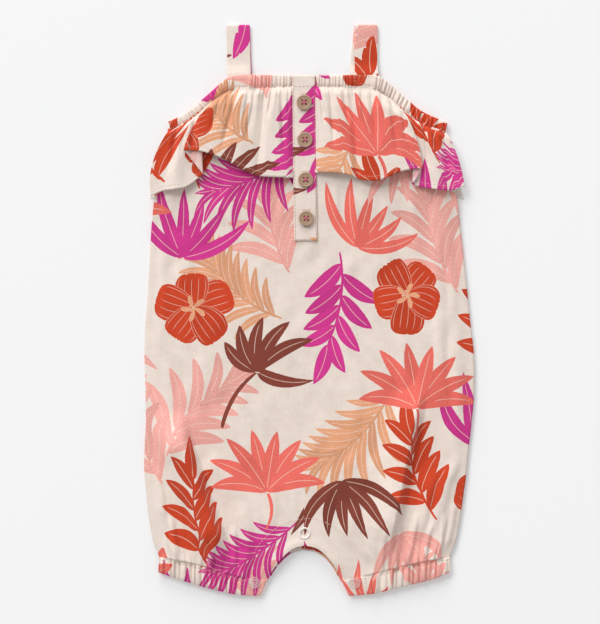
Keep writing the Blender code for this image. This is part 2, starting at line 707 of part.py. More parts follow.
def make_band(name, rows, height, pucker, on_floor, material, collection):
    """Elastic band: a flat oval swept along its rows, puckered by its gathers."""
    def place(where, turn):
        seam = row_point(rows, where, "seam_x", "seam_y")
        edge = row_point(rows, where, "edge_x", "edge_y")
        phase, gathered = gather_phase(rows, where)
        crest = gathered * 0.5 * (1.0 + math.cos(2.0 * math.pi * phase))
        floor = 0.0 if on_floor else blend(column(rows, "floor"), where)
        out = math.copysign(abs(math.cos(turn)) ** BAND_SQUARE, math.cos(turn))
        rise = math.copysign(abs(math.sin(turn)) ** BAND_SQUARE, math.sin(turn))
        reach = 0.5 * (1.0 + out * (1.0 if out < 0.0 else EDGE_REACH + (1.0 - EDGE_REACH) * crest))
        spot = seam + (edge - seam) * reach
        top = (height - pucker) * 0.5 * (1.0 + rise) + pucker * crest * max(rise, 0.0)
        return spot.x, spot.y, floor + top

    sides = BACK_BAND_SIDES if on_floor else BAND_SIDES
    return rolled_band(name, band_stations(rows), sides, place, material, collection)


def back_neck_rows():
    """Rows of the back casing, from the left underarm to the right one."""
    left = list(NECK_LEFT[::-1])
    counts = [0] + column(NECK_LEFT[1:], "gathers")[::-1]
    rows = [row._replace(gathers=count) for row, count in zip(left, counts)]
    bridge = NECK_RIGHT[0]._replace(gathers=6)
    return tuple(rows) + (bridge,) + NECK_RIGHT[1:]


def strap_path():
    """Rows of a strap with its shoulder fold worked out as half a circle."""
    middle = STRAP_FLOOR + STRAP_FOLD_RADIUS
    fold = []
    for step in range(7):
        turn = math.pi * (step / 6.0 - 0.5)
        y = STRAP_FOLD_Y + STRAP_FOLD_RADIUS * math.cos(turn)
        fold.append(StrapRow(y, middle + STRAP_FOLD_RADIUS * math.sin(turn), 0.0))
    return STRAP + tuple(fold) + STRAP_FRONT


def make_strap(strap, material, collection):
    """Shoulder strap: one flat tube of cloth, folded over at the shoulder."""
    path = strap_path()

    def place(across, along):
        row = path[round(along * (len(path) - 1))]
        share = (row.y - path[0].y) / (STRAP_FOLD_Y - path[0].y)
        middle = strap.foot_x + (strap.fold_x - strap.foot_x) * share
        middle += strap.back_shift * row.back_share
        return middle - (across - 0.5) * STRAP_WIDTH, row.y, row.z

    return sheet(strap.name, 2, len(path) - 1, place, STRAP_WALL, material, collection, 0.0)


def make_placket(support, material, collection):
    """Folded strip down the front, stitched to the panel."""
    heights = [-row.y for row in PLACKET]

    def place(across, up):
        y = PLACKET[-1].y + up * (PLACKET[0].y - PLACKET[-1].y)
        left = float(np.interp(-y, heights, column(PLACKET, "left")))
        right = float(np.interp(-y, heights, column(PLACKET, "right")))
        x = left + across * (right - left)
        ground = support.height(x, min(y, PLACKET_FLAT), 3.0, 2.0)
        return x, y, ground + GAP

    return sheet("placket", 3, 18, place, PLACKET_WALL, material, collection)


def turned(name, profile, steps, spot, material, collection):
    """A turned piece: a profile swept round its axis by a Screw modifier."""
    bm = bmesh.new()
    verts = [bm.verts.new(Vector((row.radius, 0.0, row.z)) * MM) for row in profile]
    for first, second in zip(verts, verts[1:]):
        bm.edges.new((first, second))
    piece = new_object(name, bm, material, collection)
    screw = piece.modifiers.new("Turn", "SCREW")
    screw.steps = screw.render_steps = steps
    screw.use_merge_vertices = True
    screw.merge_threshold = 0.0000001
    screw.use_smooth_shade = True
    piece.location = Vector(spot) * MM
    return piece


def make_button(row, support, material, collection, cutters):
    """Four-hole button on the placket."""
    seat = support.height(row.x, row.y, 4.5, 0.0) + GAP
    spot = (row.x, row.y, seat)
    piece = turned(row.name, BUTTON_PROFILE, BUTTON_STEPS, spot, material, collection)
    for index in range(4):
        turn = math.pi * (0.25 + 0.5 * index)
        offset = Vector((math.cos(turn), math.sin(turn), 0.0)) * HOLE_OFFSET * 1.414
        bm = bmesh.new()
        bmesh.ops.create_cone(
            bm, cap_ends=True, segments=HOLE_SIDES, radius1=HOLE_RADIUS * MM,
            radius2=HOLE_RADIUS * MM, depth=8.0 * MM)
        cutter = new_object(f"{row.name}_hole_{index}", bm, material, cutters)
        cutter.location = (Vector(spot) + offset) * MM
        cutter.hide_render = True
        cutter.display_type = "WIRE"
        cut = piece.modifiers.new("Hole", "BOOLEAN")
        cut.operation = "DIFFERENCE"
        cut.object = cutter
    return piece


def make_snap(row, support, material, collection):
    """Press stud: an open ring, or a cap with a raised ring."""
    seat = support.height(row.x, row.y, 3.3, 0.0) + GAP
    if not row.ring:
        spot = (row.x, row.y, seat)
        return turned(row.name, SNAP_CAP_PROFILE, SNAP_STEPS, spot, material, collection)
    bpy.ops.mesh.primitive_torus_add(
        major_segments=SNAP_STEPS, minor_segments=6,
        major_radius=SNAP_RING_RADIUS * MM, minor_radius=SNAP_RING_WIRE * MM,
        location=Vector((row.x, row.y, seat + SNAP_RING_WIRE)) * MM)
    piece = bpy.context.object
    piece.name = row.name
    piece.data.name = row.name
    piece.data.materials.append(material)
    for owner in list(piece.users_collection):
        owner.objects.unlink(piece)
    collection.objects.link(piece)
    shade_smooth(piece)
    return piece


# ---------------------------------------------------------------- the romper

def main():
    """Build the romper, from the pieces on the surface up to the buttons."""
    for item in list(bpy.data.objects):
        bpy.data.objects.remove(item, do_unlink=True)
    romper = bpy.data.collections.new("Baby romper")
    cutters = bpy.data.collections.new("Cutters")
    for group in (romper, cutters):
        bpy.context.scene.collection.children.link(group)

    cloth = make_material("Printed cloth", CLOTH, 0.85)
    elastic = make_material("Gathered cloth", ELASTIC_CLOTH, 0.85)
    shell = make_material("Button", SHELL_TAN, 0.4)
    snap = make_material("Snap", SNAP_WHITE, 0.35)

    make_back_ruffle(cloth, romper)
    make_back_panel(cloth, romper)
    make_band("casing_back", back_neck_rows(), CASING_HEIGHT, 0.5, True, elastic, romper)
    make_snap_strip(cloth, romper)
    front = make_front_panel(cloth, romper)
    cuffs = []
    for side, rows in (("left", CUFF_LEFT), ("right", CUFF_RIGHT)):
        make_band(f"cuff_back_{side}", rows, CUFF_HEIGHT, 0.7, True, elastic, romper)
        cuffs.append(make_band(
            f"cuff_front_{side}", rows, CUFF_HEIGHT, 0.9, False, elastic, romper))
    for side, rows in (("left", NECK_LEFT), ("right", NECK_RIGHT)):
        make_band(f"casing_front_{side}", rows, CASING_HEIGHT, 0.8, False, elastic, romper)
    for strap in STRAPS:
        make_strap(strap, cloth, romper)

    bpy.context.view_layer.update()
    on_front = Support([front])
    for side, rows in (("left", RUFFLE_LEFT), ("right", RUFFLE_RIGHT)):
        make_front_ruffle(f"ruffle_front_{side}", rows, on_front, cloth, romper)
    placket = make_placket(on_front, cloth, romper)

    bpy.context.view_layer.update()
    on_placket = Support([placket])
    for row in BUTTONS:
        make_button(row, on_placket, shell, romper, cutters)
    on_crotch = Support([front] + cuffs)
    for row in SNAPS:
        make_snap(row, on_crotch, snap, romper)


if __name__ == "__main__":
    main()
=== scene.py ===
"""Baby romper of light printed cloth, laid flat with its front up, dressed for its looks.

Every class builds and finishes one sub-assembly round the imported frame.  Tables and plan
positions are in millimetres, finished meshes in metres, in the frame's own axes: X to the
right of the laid garment, Y to its neckline, Z up from the surface that it rests on.
"""
from __future__ import annotations

import logging
import math
import sys
from collections.abc import Callable, Sequence
from dataclasses import dataclass, field, replace
from enum import Enum
from itertools import product

import bmesh
import bpy
import numpy as np
from mathutils import Matrix, Vector

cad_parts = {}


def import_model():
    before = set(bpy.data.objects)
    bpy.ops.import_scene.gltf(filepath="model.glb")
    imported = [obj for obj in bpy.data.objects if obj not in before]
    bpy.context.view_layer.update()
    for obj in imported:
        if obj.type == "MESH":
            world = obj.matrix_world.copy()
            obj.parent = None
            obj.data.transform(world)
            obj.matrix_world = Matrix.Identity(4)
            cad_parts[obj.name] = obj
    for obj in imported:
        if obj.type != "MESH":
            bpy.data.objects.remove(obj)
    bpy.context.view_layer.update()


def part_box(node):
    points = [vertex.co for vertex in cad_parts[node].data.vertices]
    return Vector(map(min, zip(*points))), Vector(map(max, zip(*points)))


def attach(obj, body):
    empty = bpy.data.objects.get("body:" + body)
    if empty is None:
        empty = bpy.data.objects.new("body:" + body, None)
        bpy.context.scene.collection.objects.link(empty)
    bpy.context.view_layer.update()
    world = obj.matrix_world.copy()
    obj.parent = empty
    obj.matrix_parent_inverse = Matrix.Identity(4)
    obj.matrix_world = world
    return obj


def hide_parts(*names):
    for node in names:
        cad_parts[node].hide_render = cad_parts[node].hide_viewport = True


Array = np.ndarray
Colour = tuple[float, ...]
Gathers = tuple[tuple[float, float, float, float], ...]
Place = Callable[[Array], Array]
LOG = logging.getLogger("romper")
MM = 0.001
TINY = 1e-6

# ------------------------------------------------------------------ numbers and tables


def through(values: Array, place: Array) -> Array:
    """Smooth value of a column of a table between its rows.

    Args:
        values: The column.
        place: Row positions, such as 2.4.

    Returns:
        Catmull-Rom values at those positions.
    """
    last = len(values) - 1
    low = np.clip(np.floor(place).astype(int), 0, last - 1)
    part = place - low
    a, b, c, d = (values[np.clip(low + step, 0, last)] for step in (-1, 0, 1, 2))
    bend, twist = 2 * a - 5 * b + 4 * c - d, 3 * b - a - 3 * c + d
    return 0.5 * (2 * b + (c - a) * part + bend * part ** 2 + twist * part ** 3)


def ease(value: Array) -> Array:
    """0 below 0, 1 above 1, and a smooth step between."""
    value = np.clip(value, 0.0, 1.0)
    return value * value * (3.0 - 2.0 * value)


def dome(value: Array) -> Array:
    """Quarter of an ellipse: 0 at 0, steep, then level from 1 on."""
    return np.sqrt(1.0 - (1.0 - np.clip(value, 0.0, 1.0)) ** 2)


def bell(value: Array) -> Array:
    """1 at 0, and nearly 0 from 2 on, to both sides."""
    return np.exp(-value ** 2)


def squared(value: Array, power: float) -> Array:
    """Sine or cosine of a section that is squarer than a circle."""
    return np.sign(value) * np.abs(value) ** power


def drift(value: Array, seed: float) -> Array:
    """Slow uneven wave between about -1 and 1, the same each run."""
    return 0.6 * np.sin(1.71 * value + seed) + 0.4 * np.sin(4.13 * value + 2.3 * seed)


def crest(phase: Array, seed: float) -> Array:
    """Height of hand-gathered pleats along a seam.

    Args:
        phase: Pleats counted from the seam's start, as a running number.
        seed: Number that tells one seam's unevenness from another's.

    Returns:
        0 in a trough and up to 1 on a crest, with uneven spacing and height.
    """
    shifted = phase + 0.24 * drift(phase, seed)
    wave = np.abs(np.cos(math.pi * shifted))
    return wave ** 0.85 * (0.74 + 0.26 * drift(2.3 * np.round(shifted), seed + 1.0))


def pleats(gathers: Gathers, phase: Array, depth: Array, spread: float, power: float,
           seed: float = 0.0) -> Array:
    """Height of the pleats that run out of a gathered seam.

    Args:
        gathers: Height, reach, number to each gather, and seed of every size of pleat.
        phase: Gathers counted along the seam.
        depth: How far a place lies from the seam.
        spread: How much the pleats differ.
        power: How sharply they end.
        seed: Number that tells the seam's pleats from another's.

    Returns:
        Heights, in millimetres.
    """
    total = np.zeros(np.shape(depth))
    for height, reach, density, own in gathers:
        count = phase * density
        uneven = 1.0 - spread + spread * drift(1.9 * np.round(count), seed + own)
        fall = np.exp(-(depth / (reach * uneven)) ** power)
        total += height * uneven * crest(count, seed + own) * fall
    return total


def lengths(points: Array, axis: int) -> Array:
    """Running length of a grid of points along one of its axes, from 0.

    Args:
        points: Grid of points.
        axis: Axis to measure along.

    Returns:
        The length up to each point, in the points' own unit.
    """
    steps = np.linalg.norm(np.diff(points, axis=axis), axis=-1)
    start = np.zeros_like(steps.take([0], axis))
    return np.concatenate([start, np.cumsum(steps, axis=axis)], axis=axis)


def normals(line: Array) -> Array:
    """Unit vectors square to a plane line, to its left.

    Args:
        line: Its points, in order.

    Returns:
        One vector to each point.
    """
    tangent = np.gradient(line, axis=0)
    tangent /= np.linalg.norm(tangent, axis=-1, keepdims=True)
    return np.stack([-tangent[:, 1], tangent[:, 0]], -1)


class Table:
    """Short table of plan values in millimetres, with a name for each column."""

    def __init__(self, names: str, *rows: Sequence[float]) -> None:
        """Keep the rows under their names, which have spaces between them."""
        self.names = names.split()
        self.rows = np.array(rows, float)

    def __len__(self) -> int:
        """Number of rows."""
        return len(self.rows)

    def __getitem__(self, name: str) -> Array:
        """Column of that name."""
        return self.rows[:, self.names.index(name)]

    def at(self, name: str, place: Array) -> Array:
        """Smooth values of a column at row positions."""
        return through(self[name], place)

    def spot(self, place: Array, prefix: str = "") -> Array:
        """Plan points at row positions, read from the columns x and y with that prefix."""
        return np.stack([self.at(f"{prefix}{axis}", place) for axis in "xy"], -1)

    def read(self, key: str, place: Array, values: Array) -> Array:
        """Values of the rows, read where the key column has the given numbers."""
        order = np.argsort(self[key])
        return np.interp(place, self[key][order], values[order])

    def places(self, count: int) -> Array:
        """Even row positions, from the first row to the last."""
        return np.linspace(0.0, len(self) - 1.0, count)


# ------------------------------------------------------------------ plan of the garment

GAP = 0.3
BACK_WALL = 1.0
FRONT_WALL = 1.2
CENTRE_X = -4.3
CROTCH_Y = -183.2
CROTCH_SHARE = 0.14
KNEE_Y = -158.0
SIDE_ROUND = 14.0
SIDE_CURL = 0.8
CURL_WIDTH = 6.0
SEAM_GAP = -1.4
CROTCH_ROOM = 1.5
CROTCH_ROUND = 11.0
BACK_CROTCH_DROP = 4.4
BACK_RUFFLE_HEM = 85.5
BACK_RUFFLE_SLOPE = 22.0
BACK_RUFFLE_WALL = 1.0
FOLD_FADE = 0.28
PLACKET_LEVEL_Y = 172.0
PLACKET_RISE = 1.7

SIDES = Table(
    "y left right",
    (141, -111.4, 108.2), (118.5, -115.9, 110.4), (98.8, -120.4, 114.2), (83.1, -122.6, 116.8),
    (63.5, -124.6, 119.1), (40, -125.9, 121.7), (16, -127.2, 124.3), (-8, -129.2, 126.6),
    (-35, -130, 129.6), (-62, -129.2, 129.8), (-86, -128.9, 127.8), (-110, -130, 125.2),
    (-125, -130.2, 123.8), (-141, -128.6, 121.6), (-164.5, -126.2, 118.3), (-180.2, -123, 115.1),
    (-193.6, -118.3, 109.9),
)
BAND_COLUMNS = "edge_x edge_y seam_x seam_y gathers floor"
NECK_LEFT = Table(
    BAND_COLUMNS,
    (-14.2, 185.4, -14.2, 176, 0, 3.4), (-30, 185.6, -30, 175.5, 5, 3.9),
    (-46.2, 185.6, -46.6, 175.2, 5, 6), (-61, 184.6, -60, 174, 0, 6),
    (-69.6, 179.2, -67, 172, 3, 5.6), (-76.6, 173.3, -72.9, 168, 2, 4.1),
    (-82.9, 168, -79.2, 163, 2, 3.2), (-89.2, 162.1, -85.5, 157.3, 2, 3.2),
    (-95.5, 157.3, -92.5, 151.3, 2, 3.2), (-102, 153.2, -99.6, 146.7, 2, 3.2),
    (-111.2, 149, -109.4, 142, 2, 3.2),
)
NECK_RIGHT = Table(
    BAND_COLUMNS,
    (5, 185.4, 5, 176, 0, 3.4), (20, 185.4, 20, 175.7, 5, 3.9), (35.2, 185.4, 35.2, 175.4, 5, 6),
    (51.5, 185.2, 50.5, 174.6, 0, 6), (58.6, 182.2, 56, 172.6, 2, 5.3),
    (64.8, 177, 61.5, 168, 2, 3.6), (71.1, 171.9, 67.3, 163, 2, 3.2),
    (79, 164.9, 75, 156.7, 2, 3.2), (85.3, 159.4, 82, 151.4, 2, 3.2),
    (91.6, 155.6, 89, 147, 2, 3.2), (99.4, 152.1, 97.2, 142.9, 2, 3.2),
    (108.6, 148.4, 106.8, 139.8, 2, 3.2),
)
CUFF_LEFT = Table(
    BAND_COLUMNS,
    (-119.1, -206, -118.3, -194, 0, 3.3), (-108.1, -210, -108.1, -195.8, 3, 3.3),
    (-97, -213.6, -97, -197.8, 3, 3.3), (-86.1, -216.9, -86.1, -200.3, 3, 3.3),
    (-74.3, -220.2, -74.3, -203.6, 3, 3.3), (-64.1, -222.6, -64.1, -206.9, 3, 3.3),
    (-54.4, -224.2, -54.2, -209.8, 2, 3.3), (-39, -225, -33.6, -211.8, 0, 2.6),
)
CUFF_RIGHT = Table(
    BAND_COLUMNS,
    (110.6, -206, 110, -194, 0, 3.3), (102.6, -209.8, 102.6, -194.9, 2, 3.3),
    (90.8, -213.4, 90.8, -197.3, 3, 3.3), (75.1, -217.2, 75.1, -200.5, 4, 3.3),
    (63.3, -220.2, 63.3, -203.6, 3, 3.3), (48.6, -223.4, 48.4, -207.6, 3, 3.3),
    (31.2, -225, 25, -211.8, 0, 2.6),
)
CROTCH_LEFT = Table(
    "x y", (CENTRE_X, CROTCH_Y), (-12.6, -185.6), (-20.8, -192.2), (-28, -201.2), (-33.4, -211.6))
CROTCH_RIGHT = Table(
    "x y", (CENTRE_X, CROTCH_Y), (5, -185.2), (13, -191.2), (20.4, -201.2), (24.8, -211.6))
ROOM = Table(
    "y room",
    (176, 0.5), (140, 0.9), (100, 1.8), (60, 2.7), (0, 3), (-60, 3.2), (-130, 3.3), (-170, 3.4),
    (-195, 2.6), (-212, 1.6),
)
# A crease runs through three points, from the neck's side to the cuff's.  It is a ridge
# of that height, or a trough if that is negative, and reaches that far to each side.
CREASE_COLUMNS = "x0 y0 x1 y1 x2 y2 height left right"
FOLDS = Table(
    CREASE_COLUMNS,
    (-99, -146, -94, -164, -90, -190, 2.2, 8, 10), (98.5, -122, 92, -152, 87, -184, 2, 9, 6),
    (116.5, -111, 106, -140, 98, -178, 1.9, 9, 7), (34, -150, 41, -180, 50, -203, 2.3, 10, 6.5),
    (-53, -148, -49, -176, -51, -203, 1.8, 9, 7), (-105, 66, -101, 40, -97, 12, 1.3, 10, 8),
    (-66, 110, -63, 88, -59, 60, 1.5, 10, 7.5), (-42, 98, -41, 78, -39, 58, 1.2, 9, 7.5),
    (58, 92, 60, 66, 63, 36, 1.3, 10, 8), (96, 92, 101, 20, 103, -72, 1.5, 11, 8),
    (113, -14, 116, -50, 119, -88, 1.2, 9, 8), (72, -14, 74, -42, 75, -70, 1.1, 10, 8),
    (-86, -30, -84, -58, -85, -84, 1.1, 10, 8),
)
# The two long folds of the legs: the left one ends in a sharp valley to the right of its
# ridge, and the right one falls sharply from its ridge.
VALLEY_FOLDS = Table(CREASE_COLUMNS, (-105, -76, -86, -140, -65, -206, 12, 26, 7.4))
CREST_FOLDS = Table(CREASE_COLUMNS, (88, -52, 72.5, -138, 60, -206, 9, 28, 7))
CROTCH_STITCHES = Table(
    "x y", (-52, -203), (-47, -195.5), (-40.8, -185.5), (-33.4, -176.8), (-20, -167.3),
    (-2, -163.5), (9, -165), (24.5, -173.4), (31.8, -182.5), (37.3, -193.6), (43, -206.5))
RUFFLE_COLUMNS = "top_x top_y hem_x hem_y bow lift"
RUFFLE_LEFT = Table(
    RUFFLE_COLUMNS,
    (-13, 175.3, -12.2, 104.8, 0, 0), (-19, 175.1, -23.5, 104.6, 0, 1.5),
    (-25, 174.9, -32, 104.9, 0, 1.9), (-31, 174.7, -40.5, 105.7, 0, 1.7),
    (-37, 174.6, -48, 108.2, 0, 0.8), (-44, 174.5, -57, 112.8, 0, 2.5),
    (-51, 174, -66, 118.2, -1, 2.9), (-58, 173.4, -75, 122, -2, 3.8),
    (-66, 171.4, -86, 124.9, -3, 3.9), (-72.5, 167.4, -97.2, 125.6, -4, 4),
    (-73.7, 166.5, -98.4, 125.3, -4, 3.1), (-74.8, 165.6, -97, 124, -4, 2),
    (-77, 163.9, -85.2, 109, -3, 2), (-78.2, 162.9, -83.9, 107.2, -3, 1),
    (-79.4, 161.9, -85.4, 105.6, -3, 0), (-84, 157.9, -96, 97.4, -3, 0.4),
    (-90, 152.7, -106, 95, -4, 2.4), (-98, 147, -115.5, 93.8, -5, 0.4),
    (-110.8, 141.2, -124.6, 89.5, -5.6, 0.2),
)
RUFFLE_RIGHT = Table(
    RUFFLE_COLUMNS,
    (3.6, 175.3, 4.2, 108.9, 0, 0), (11, 175.2, 15.5, 108.3, 0, 1.4),
    (17, 175.1, 24, 107.7, 0, 1.7), (23, 174.9, 32.5, 105.9, 0, 1.6),
    (29.5, 174.8, 40, 102.8, 0, 0.8), (36, 174.7, 49.5, 101.6, 0, 2.9),
    (43, 174.5, 59, 103.4, 1, 2.6), (51, 173.8, 68.5, 107.9, 2.5, 3.8),
    (62, 167, 78.5, 110.4, 3.5, 3.9), (72, 158.6, 87, 111.2, 3, 4),
    (73.3, 157.5, 88.2, 110.9, 3, 3.1), (74.5, 156.5, 87, 109.4, 3, 2),
    (77, 154.5, 82.2, 101.4, 2, 2), (78.2, 153.6, 80.8, 99.9, 2, 1),
    (79.4, 152.8, 82.4, 98.4, 2, 0), (84, 149.7, 91.5, 96.2, 2, 0.4), (90, 146, 101, 94.9, 2, 2.4),
    (97.5, 142.4, 111, 94.4, 2, 0.4), (108.4, 139, 121.6, 97.7, 2, 0.2),
)
RUFFLE_BACK = Table(
    "top_x top_y hem_x hem_y",
    (-109, 141.4, -125.6, 89), (-99, 146.4, -112, 87), (-86, 156.4, -96, 91),
    (-72.5, 167.6, -78, 88.5), (-58, 173.4, -60, 92), (-38, 174.6, -40, 89), (-18, 175.2, -19, 92),
    (2, 175.2, 3, 89), (22, 175, 24, 92), (42, 174.4, 44, 88.5), (57, 170, 63, 91.5),
    (70.8, 158, 80, 88.5), (85, 147.4, 97, 91), (106.2, 139.3, 122, 88),
)
PLACKET = Table("y left right", (185.4, -13.8, 4.4), (120, -13, 5.2), (54.8, -12.1, 6))

# Fine creases of the front, on top of its folds.
FRONT_CREASES = Table(
    CREASE_COLUMNS,
    (-121, -118, -117.5, -140, -114, -170, 1.5, 5, 4),
    (-110, -158, -106.5, -174, -103, -198, 1.9, 5, 3.2),
    (-101.5, -140, -97, -160, -93, -194, -1.3, 4, 4),
    (-84, -168, -80, -184, -77, -204, 1.7, 4.5, 3),
    (-60, -166, -58.5, -188, -59, -208, 1.9, 4.5, 3), (60, -166, 58, -184, 56, -208, 1.4, 4, 3),
    (72.5, -160, 70.5, -180, 68, -205, 1.7, 4, 3), (84.5, -156, 81, -180, 77, -203, 2.1, 4.5, 3),
    (96.5, -164, 92.5, -182, 89, -200, 1.9, 4.5, 3),
    (107, -156, 104.5, -176, 101, -198, 2, 5, 3.2),
    (115, -146, 112.5, -166, 108, -190, 1.5, 4, 3.6), (-111, 78, -107, 46, -101, 8, -0.7, 6, 3.5),
    (-98, 64, -95, 40, -90, 14, 0.8, 5, 4.5), (-118, 62, -115, 30, -113, -12, 0.7, 5, 5),
    (-71, 112, -68, 88, -63, 56, -0.8, 5, 3.5), (-52, 108, -48.5, 86, -43, 60, -0.8, 5, 3),
    (-33, 104, -31.5, 86, -28, 62, 0.8, 4.5, 4), (-23, 102, -22.5, 88, -21, 70, 0.6, 3.5, 3.5),
    (-85, 100, -82, 78, -80, 46, 0.8, 6, 5), (19, 104, 20.5, 88, 22, 64, 0.7, 4, 4),
    (33, 100, 35, 82, 36, 58, 0.6, 5, 4.5), (54, 96, 56.5, 64, 59, 30, -0.8, 5, 3.5),
    (80, 100, 82, 74, 86, 40, 0.8, 6, 5), (91, 94, 96, 20, 98, -76, -0.8, 6, 3.5),
    (109, 60, 112, 20, 114, -20, 0.7, 6, 5), (108, -10, 111, -48, 114, -92, -0.8, 6, 3.5),
    (67, -10, 69, -40, 70, -76, -0.6, 6, 4), (-92, -24, -90, -56, -91, -88, -0.6, 6, 4),
    (-112, -30, -110, -60, -112, -96, 0.6, 6, 5.5), (-57, -52, -50, -88, -44, -124, 0.7, 9, 8),
    (38, -62, 34, -96, 30, -130, 0.7, 9, 8), (-30, -126, -28, -150, -31, -180, 0.8, 7, 5.5),
    (14, -124, 15, -148, 21, -180, 0.7, 6, 5.5), (-9, -142, -6, -158, -4, -180, -0.6, 5, 5),
    (-20, 20, -16, -14, -18, -54, 0.6, 11, 9), (30, 30, 33, 0, 30, -40, 0.6, 10, 9),
)
# Valleys of the front ruffles; a height of 1 reaches down to the ruffle's base.
RUFFLE_VALLEYS = Table(
    CREASE_COLUMNS,
    (-68, 205, -71, 162, -80, 134, 0.75, 3.4, 5), (-62, 205, -64.5, 165, -68, 146, 0.6, 2.6, 3.6),
    (-56, 205, -60, 165, -69, 122, 0.9, 3.6, 6), (-47, 205, -49, 165, -52, 146, 0.8, 2.6, 4.4),
    (-41, 205, -44, 165, -51, 128, 0.7, 3, 4.6), (-33, 205, -37, 150, -43, 86, 1, 6, 5),
    (-28, 205, -31, 165, -34, 146, 0.9, 2.4, 3.6),
    (-21.5, 205, -22, 165, -20, 118, 0.95, 3.2, 5.2),
    (-16, 205, -16.5, 165, -17.5, 148, 0.7, 2.2, 3), (-88, 190, -91, 142, -94, 112, 0.8, 3, 5),
    (-94, 185, -98.5, 138, -102, 118, 0.6, 2.6, 4.4),
    (-100, 185, -106, 134, -112, 100, 0.85, 3.4, 5.4), (8, 205, 9, 165, 12, 142, 0.9, 2.4, 3.4),
    (14, 205, 16.5, 165, 19.5, 124, 0.95, 3, 4.8), (22.5, 205, 27.5, 163, 32, 140, 0.9, 2.6, 4),
    (29, 205, 35.5, 145, 38.5, 86, 1, 5, 5.4), (38, 205, 41, 165, 43, 144, 0.85, 2.6, 4),
    (45, 205, 49, 163, 53, 126, 0.8, 3.4, 5.4), (52.5, 205, 57, 160, 59.5, 140, 0.7, 2.6, 4.4),
    (60, 205, 65, 155, 69, 118, 0.9, 3.4, 5.4), (70, 190, 73.5, 152, 76, 128, 0.8, 3, 4.4),
    (87, 180, 90.5, 138, 94, 106, 0.9, 3, 5), (93.5, 176, 98, 134, 101, 116, 0.6, 2.6, 4),
    (100, 174, 106, 130, 110.5, 102, 0.85, 3.2, 5),
)


@dataclass(frozen=True)
class Half:
    """One half of a panel in plan, from its side seam to the middle line."""

    side: str
    neck: Table
    cuff: Table
    crotch: Table

    def side_x(self, y: Array) -> Array:
        """X of the side seam at a height."""
        return SIDES.at(self.side, SIDES.read("y", y, np.arange(len(SIDES))))

    def side_point(self, up: Array) -> Array:
        """Point of the side seam, from the cuff at 0 to the underarm at 1."""
        y = np.interp(up, (0.0, CROTCH_SHARE, 1.0), (SIDES["y"][-1], KNEE_Y, SIDES["y"][0]))
        return np.stack([self.side_x(y), y], -1)

    def middle_point(self, up: Array, drop: float) -> Array:
        """Point of the crotch curve and, above it, of the middle line.

        Args:
            up: Share of the way from the cuff to the neck.
            drop: How much lower the crotch hangs than the front's.

        Returns:
            Plan points, in millimetres.
        """
        share = np.clip((up - CROTCH_SHARE) / (1.0 - CROTCH_SHARE), 0.0, 1.0)
        low = CROTCH_Y - drop
        line_y = low + share * (self.neck["seam_y"][0] - SEAM_GAP - low)
        line = np.stack([np.full_like(line_y, CENTRE_X), line_y], -1)
        back = np.clip(1.0 - up / CROTCH_SHARE, 0.0, 1.0)
        curve = self.crotch.spot(back * (len(self.crotch) - 1))
        curve[..., 1] -= drop * (1.0 - back ** 2)
        return np.where((up >= CROTCH_SHARE)[..., None], line, curve)

    def seam_point(self, band: Table, across: Array, corner: Array, centre: Array) -> Array:
        """Point of a band's seam, at an even share of the way across the half."""
        x = corner[0] + across * (centre[0] - corner[0])
        return np.stack([x, band.read("seam_x", x, band["seam_y"])], -1)

    def point(self, across: Array, up: Array, drop: float = 0.0) -> Array:
        """Blend of the half's four edges.

        Args:
            across: Share of the way from the side seam to the middle.
            up: Share of the way from the cuff to the neck.
            drop: How much lower the crotch hangs than the front's.

        Returns:
            Plan points, in millimetres.
        """
        (low_side, low_middle), (top_side, top_middle), (side, middle) = (
            (self.side_point(level), self.middle_point(level, drop))
            for level in (np.array(0.0), np.array(1.0), up))
        gap = np.array([0.0, SEAM_GAP])
        top = self.seam_point(self.neck, across, top_side, top_middle) - gap
        foot = self.seam_point(self.cuff, across, low_side, low_middle) + gap
        s, t = across[..., None], up[..., None]
        corners = (1 - t) * ((1 - s) * low_side + s * low_middle)
        corners = corners + t * ((1 - s) * top_side + s * top_middle)
        return (1 - s) * side + s * middle + (1 - t) * foot + t * top - corners


LEFT_HALF = Half("left", NECK_LEFT, CUFF_LEFT, CROTCH_LEFT)
RIGHT_HALF = Half("right", NECK_RIGHT, CUFF_RIGHT, CROTCH_RIGHT)


def crotch_line(samples: int = 24) -> Array:
    """Points of the front's crotch edge, from the left leg's corner to the right's."""
    left, right = CROTCH_LEFT.places(samples + 1)[::-1], CROTCH_RIGHT.places(samples + 1)
    return np.concatenate([CROTCH_LEFT.spot(left[:-1]), CROTCH_RIGHT.spot(right)])


CROTCH_LINE = crotch_line()


def side_distance(x: Array, y: Array) -> Array:
    """How far a place lies inside the side seam."""
    edge = np.where(x < CENTRE_X, LEFT_HALF.side_x(y), RIGHT_HALF.side_x(y))
    return np.maximum(np.abs(edge - CENTRE_X) - np.abs(x - CENTRE_X), 0.0)


def crotch_distance(x: Array, y: Array) -> Array:
    """How far a place lies from the crotch edge.

    Args:
        x: Plan positions, in millimetres.
        y: Plan positions, in millimetres.

    Returns:
        Distances, in millimetres.
    """
    spots = np.stack([x, y], -1)
    near = np.full(np.shape(x), np.inf)
    for point in CROTCH_LINE:
        near = np.minimum(near, np.linalg.norm(spots - point, axis=-1))
    return near


class Profile(Enum):
    """Forms of a crease's side, as two powers of its course from 1 to 0."""

    SOFT = (2.0, 2.0)
    VALLEY = (1.5, 1.2)
    CREST = (1.0, 1.35)
    GATHER = (1.0, 1.5)


